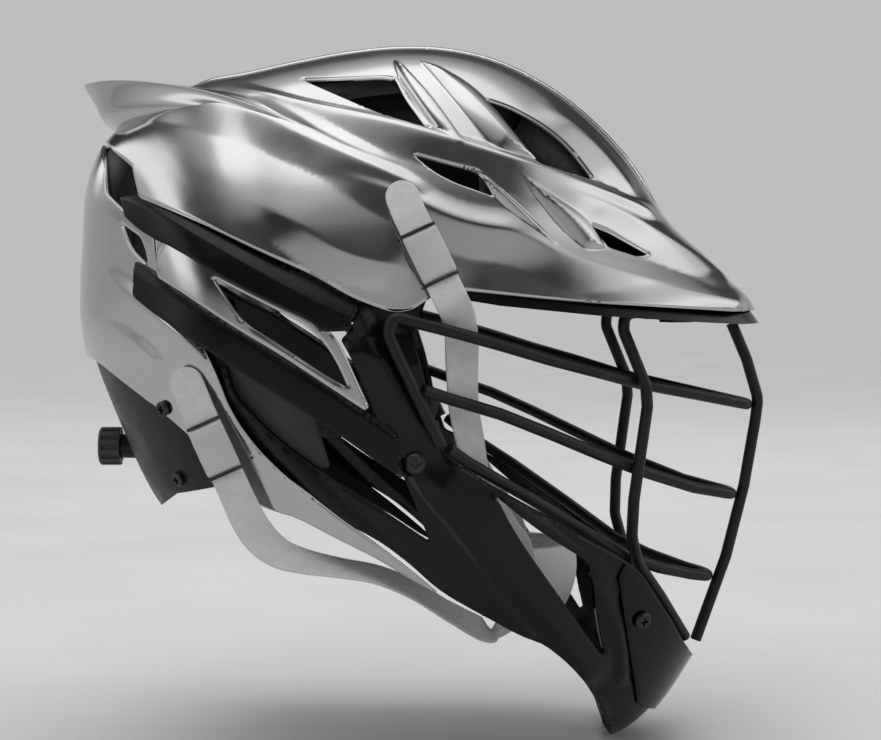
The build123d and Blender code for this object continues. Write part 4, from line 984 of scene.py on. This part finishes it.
def nape(word, way):
    """Cushion in front of one rack arm, riding with it."""
    def place(u, v, deep):
        t = NAPE_FROM + (1 - NAPE_FROM) * (v + 1) / 2
        a, b, c = NAPE_LINE
        here = a * (1 - t) * (1 - 2 * t) + b * 4 * t * (1 - t) + c * t * (2 * t - 1)
        ahead = unit(a * (4 * t - 3) + b * (4 - 8 * t) + c * (4 * t - 1))
        x, y = here + np.array([ahead[1], -ahead[0]]) * (NAPE_GAP + deep)
        return np.array([x, y * way, NAPE_MIDDLE + u * NAPE_HALF])

    cushion("nape_cushion_" + word, place, NAPE_THICK, "nape_pad_" + word, f"rack_{word}_body",
            flip=way < 0)


for word, way in (("left", 1), ("right", -1)):
    pad("side_cushion_" + word, 65, 144.4, 126, 153, 11.4, 14.0, "liner_side_" + word, side=way)
    pad("jaw_cushion_" + word, 306, 332, 162, 173, 9.2, 13.0, "jaw_pad_" + word, side=way)
    nape(word, way)

# Straps: thousandths of length, height and half width, then the twist in degrees
FRONT_STRAP = [
    (145, 192, 926, 12), (153, 171, 944, 12), (207, 60, 978, 12), (222, 16, 905, 16),
    (225, -76, 880, 28), (234, -131, 858, 34), (248, -200, 790, 38), (283, -262, 610, 30),
    (303, -296, 420, 24), (309, -325, 383, 20)]
REAR_STRAP = [
    (-142, -56, 934, -12), (-128, -90, 944, -12), (-82, -192, 944, -12), (-55, -248, 938, 8),
    (-26, -279, 915, 34), (10, -294, 885, 52), (61, -306, 835, 64), (110, -318, 780, 66),
    (160, -342, 720, 66), (208, -376, 640, 66), (258, -408, 490, 55), (284, -400, 425, 36),
    (302, -380, 382, 20)]
STRAP_HALF = 8.0
STRAP_THICK = 1.4
STATIONS = 10  # between two places of a table
TAB_ROWS = 8
# Half section, across and through: a stitched edge a little thicker than the middle
STRAP_EDGE = [(-1.0, 0.0), (-0.97, 0.8), (-0.86, 1.0), (-0.4, 0.86), (0.4, 0.86), (0.86, 1.0),
              (0.97, 0.8)]


def strap_places(table):
    """Places in mm on the wearer's right, each with its twist."""
    places = np.array(table) / (1000, 1000, 1000, 1)
    return places[:, [0, 2, 1, 3]] * (LENGTH, -HALF, HEIGHT, 1)


def strap_axes(along, twist):
    """Directions across the strap and out of its face."""
    wide = unit(np.cross(along, (0, -1, 0)))
    wide = -wide if wide[0] < 0 else wide
    thick = unit(np.cross(wide, along))
    thick = -thick if thick[1] > 0 else thick
    c, s = math.cos(math.radians(twist)), math.sin(math.radians(twist))
    return wide * c - thick * s, thick * c + wide * s


def strap_line(table):
    """Smooth stations through the table, straight as far as its third place."""
    p = strap_places(table)
    last = len(p) - 1
    out = []
    for i in range(last):
        here, there = p[i], p[i + 1]
        leaving = (there - p[i - 1]) / 2
        arriving = (p[min(i + 2, last)] - here) / 2
        if i == 2:
            leaving = (here - p[1]) * (np.linalg.norm((there - here)[:3])
                                       / np.linalg.norm((here - p[1])[:3]))
        for k in range(STATIONS):
            t = k / STATIONS
            straight = here + (there - here) * t
            out.append(straight if i < 2 else cubic(t, here, there, leaving, arriving))
    return np.array(out + [p[-1]])


def ring(centre, wide, normal, half):
    """Flat band section of the strap."""
    section = STRAP_EDGE + [(-a, -b) for a, b in STRAP_EDGE]
    return [centre + wide * half * a + normal * (STRAP_THICK / 2) * b for a, b in section]


def ribbon(name, table, node, flip):
    """Webbing with a round tab at its snap end."""
    line = strap_line(table)
    here, twist = line[:, :3], line[:, 3]
    last = len(here) - 1
    first = unit(here[1] - here[0])
    axes = strap_axes(first, twist[0])
    rows = []
    for k in range(TAB_ROWS):
        back = STRAP_HALF * math.cos(math.pi / 2 * k / TAB_ROWS)
        half = math.sqrt(max(0.0, STRAP_HALF**2 - back**2))
        rows.append(ring(here[0] - first * back, *axes, max(half, 0.6)))
    for i in range(last + 1):
        along = unit(here[min(i + 1, last)] - here[max(i - 1, 0)])
        rows.append(ring(here[i], *strap_axes(along, twist[i]), STRAP_HALF))
    loft(name, np.array(rows) * flip, WEBBING, [node], levels=1)


# A slider's top: places along it and their heights
SLIDER_HIGH = 1.55
SLIDER_TOP = [(-11.2, 0.2), (-10.8, 0.9), (-9.5, 1.3), (-4, SLIDER_HIGH), (4, SLIDER_HIGH),
              (9.5, 1.3), (10.8, 0.9), (11.2, 0.2)]
SLIDER_HALF = 8.6
SLIDER_LEAN = 0.25
SLIDER_SKIRT = 0.4
SLIDER_BEVEL = 0.5
SLIDER_GAP = 0.25
BAR_PLACE = 12.3
BAR_HALF = 8.9
BAR_RADIUS = 0.8
BAR_ROWS = 12


def slider(name, table, node, flip):
    """Low slider on the strap with a bar at each end that the webbing turns round."""
    body = node + "_body"
    p = strap_places(table[1:3])[:, :3]
    along = unit(p[1] - p[0])
    wide, normal = strap_axes(along, table[1][3])
    centre = (p[0] + p[1]) / 2
    top = STRAP_THICK / 2 + SLIDER_GAP
    rows = []
    for place, height in SLIDER_TOP:
        half = SLIDER_HALF - SLIDER_LEAN * (SLIDER_HIGH - height)
        low, high = top + SLIDER_SKIRT, top + height
        section = [(-half, low), (-half + SLIDER_BEVEL, high), (half - SLIDER_BEVEL, high),
                   (half, low), (half, top), (-half, top)]
        rows.append([(centre + along * place + wide * a + normal * b) * flip for a, b in section])
    loft(name, rows, LIGHT, [node], body=body)
    for number, place in enumerate((-BAR_PLACE, BAR_PLACE)):
        rows = []
        for k in range(BAR_ROWS + 1):
            lift = 0.9 * math.sin(math.pi * k / BAR_ROWS) ** 0.5 - 0.5
            middle = (centre + along * place + wide * (2 * k / BAR_ROWS - 1) * BAR_HALF
                      + normal * (top + lift))
            rows.append([(middle + (along * math.cos(t) + normal * math.sin(t)) * BAR_RADIUS) * flip
                         for t in np.linspace(0, 2 * math.pi, 10, endpoint=False)])
        loft(f"{name}_bar_{number}", rows, STEEL, levels=1, body=body)


STRAPS = [(end, word, table, flip) for word, flip in (("left", MIRROR), ("right", 1))
          for end, table in (("front", FRONT_STRAP), ("rear", REAR_STRAP))]
for end, word, table, flip in STRAPS:
    ribbon(f"{end}_webbing_{word}", table, f"{end}_strap_{word}", flip)
for end, word, table, flip in STRAPS:
    slider(f"{end}_slider_{word}", table, f"{end}_adjuster_{word}", flip)

# Chin cup: levels by height, rear, front and half width in thousandths, then how full its
# cushion is at each
CUP_LEVELS = [
    (-408, 285, 372, 315), (-372, 262, 392, 375), (-335, 252, 398, 400), (-300, 250, 392, 395)]
CUP_SWELL = (0.62, 1, 1, 0.62)
CUP_PLACES = 25


def cup_line(level, depth):
    """One level of the cup from the right round the front to the left."""
    height, rear, front, half = np.array(level) / 1000
    long, wide = LENGTH * (front - rear) - depth, HALF * half - depth
    turns = [math.radians(180 * k / (CUP_PLACES - 1) - 90) for k in range(CUP_PLACES)]
    return [(LENGTH * rear + long * max(0.0, math.cos(t)) ** ROUND, wide * math.sin(t),
             HEIGHT * height) for t in turns]


def cup(name, near, far, material, node, swell=(1, 1, 1, 1)):
    """Band through the cup's levels: outer face down, inner face back up."""
    rows = [cup_line(level, near) for level in CUP_LEVELS]
    rows += [cup_line(level, near + (far - near) * s)
             for level, s in zip(reversed(CUP_LEVELS), reversed(swell))]
    return loft(name, np.array(rows).transpose(1, 0, 2), material, [node])


cup("chin_cup_shell", 0.0, 2.6, CUP, "chin_cup")
piece = cup("chin_cup_cushion", 2.9, 8.9, PALE_FOAM, "chin_cup_pad", CUP_SWELL)

# Camera of the photograph
camera_data = bpy.data.cameras.new("camera")
camera_data.lens = 85.8
camera_data.sensor_width = 36.0
camera = stand("camera", camera_data)
camera.location = (Vector(AIM) + Vector((0, -math.cos(TILT), math.sin(TILT))) * DISTANCE) * MM
camera.rotation_euler = (math.pi / 2 - TILT, 0, 0)
bpy.context.scene.camera = camera

# Pale floor just under the helmet, and soft studio light
FLOOR_HALF = 6
floor_level = CAD_LOW[2] - 0.001
floor_mesh = bpy.data.meshes.new("floor")
floor_mesh.from_pydata([(x * FLOOR_HALF, y * FLOOR_HALF, floor_level)
                        for x, y in ((-1, -1), (1, -1), (1, 1), (-1, 1))], [], [(0, 1, 2, 3)])
floor = stand("floor", floor_mesh)
ground = Shader("pale_floor")
pale = ground.tones(ground.noise(6, 3), 0.52, 0.56)
floor_mesh.materials.append(ground.finish(pale, 0.7))


def lamp(name, place, target, size, power):
    """Area lamp that lights the helmet but isn't mirrored in it."""
    data = bpy.data.lights.new(name, "AREA")
    data.shape = "RECTANGLE"
    data.size, data.size_y = size
    data.energy = power
    item = stand(name, data)
    item.location = place
    item.visible_glossy = False
    item.rotation_euler = (Vector(target) - Vector(place)).to_track_quat("-Z", "Y").to_euler()


lamp("key", (-0.6, -1.5, 2.5), (0.05, 0, 0.03), (2.6, 1.2), 14)
lamp("top", (0.1, 0.3, 2.2), (0.05, 0, 0), (1.8, 1.4), 9)
lamp("far_side", (0.3, 2.0, 1.3), (0.05, 0, 0), (1.6, 0.8), 5)

# The studio's walls, by direction: light and dark bands up and along, and two bright strips
world = bpy.data.worlds.new("studio")
bpy.context.scene.world = world
world.use_nodes = True
studio = Nodes(world.node_tree)
facing = studio.add("ShaderNodeTexCoord").outputs["Generated"]
x, y, z = studio.add("ShaderNodeSeparateXYZ", Vector=facing).outputs


def bands(direction, stops):
    """Soft light and dark bands of the studio along one axis."""
    shift = studio.add("ShaderNodeMath", operation="MULTIPLY_ADD")
    for socket, value in zip(shift.inputs, (direction, 0.5, 0.5)):
        studio.put(socket, value)
    node = studio.add("ShaderNodeValToRGB", Fac=shift.outputs[0])
    ramp = node.color_ramp
    ramp.interpolation = "EASE"
    while len(ramp.elements) < len(stops):
        ramp.elements.new(0.5)
    for element, (where, value) in zip(ramp.elements, stops):
        element.position = where / 2 + 0.5
        element.color = (*gray(value), 1)
    return node.outputs[0]


def mixed(kind, share, one, two):
    node = studio.add("ShaderNodeMix", data_type="RGBA", blend_type=kind)
    for index, value in ((0, share), (6, one), (7, two)):
        studio.put(node.inputs[index], value)
    return node.outputs[2]


rise = bands(z, [
    (-1.0, 0.20), (-0.10, 0.25), (0.15, 0.25), (0.22, 0.17), (0.32, 0.035), (0.54, 0.05),
    (0.66, 0.20), (0.78, 0.38), (0.87, 0.92), (1.0, 0.95)])
along = bands(x, [
    (-1.0, 0.5), (-0.86, 0.9), (-0.66, 1.0), (-0.60, 0.80), (-0.54, 0.20), (-0.44, 0.30),
    (-0.31, 0.95), (0.0, 1.0), (0.42, 0.8), (0.58, 0.95), (0.74, 0.50), (0.86, 0.95), (1.0, 0.8)])
strip = bands(x, [
    (-1.0, 0.2), (-0.78, 0.35), (-0.71, 0.75), (-0.62, 0.75), (-0.55, 0.0), (0.58, 0.0),
    (0.72, 0.45), (0.84, 0.75), (1.0, 0.6)])
upper = studio.add("ShaderNodeMapRange", interpolation_type="SMOOTHSTEP", Value=z,
                   From_Min=0.14, From_Max=0.26).outputs[0]
sky = studio.tree.nodes["Background"]
crossed = mixed("MULTIPLY", upper, rise, along)
studio.put(sky.inputs["Color"], mixed("LIGHTEN", upper, crossed, strip))
sky.inputs["Strength"].default_value = 2.05

bpy.context.scene.view_settings.view_transform = "Standard"
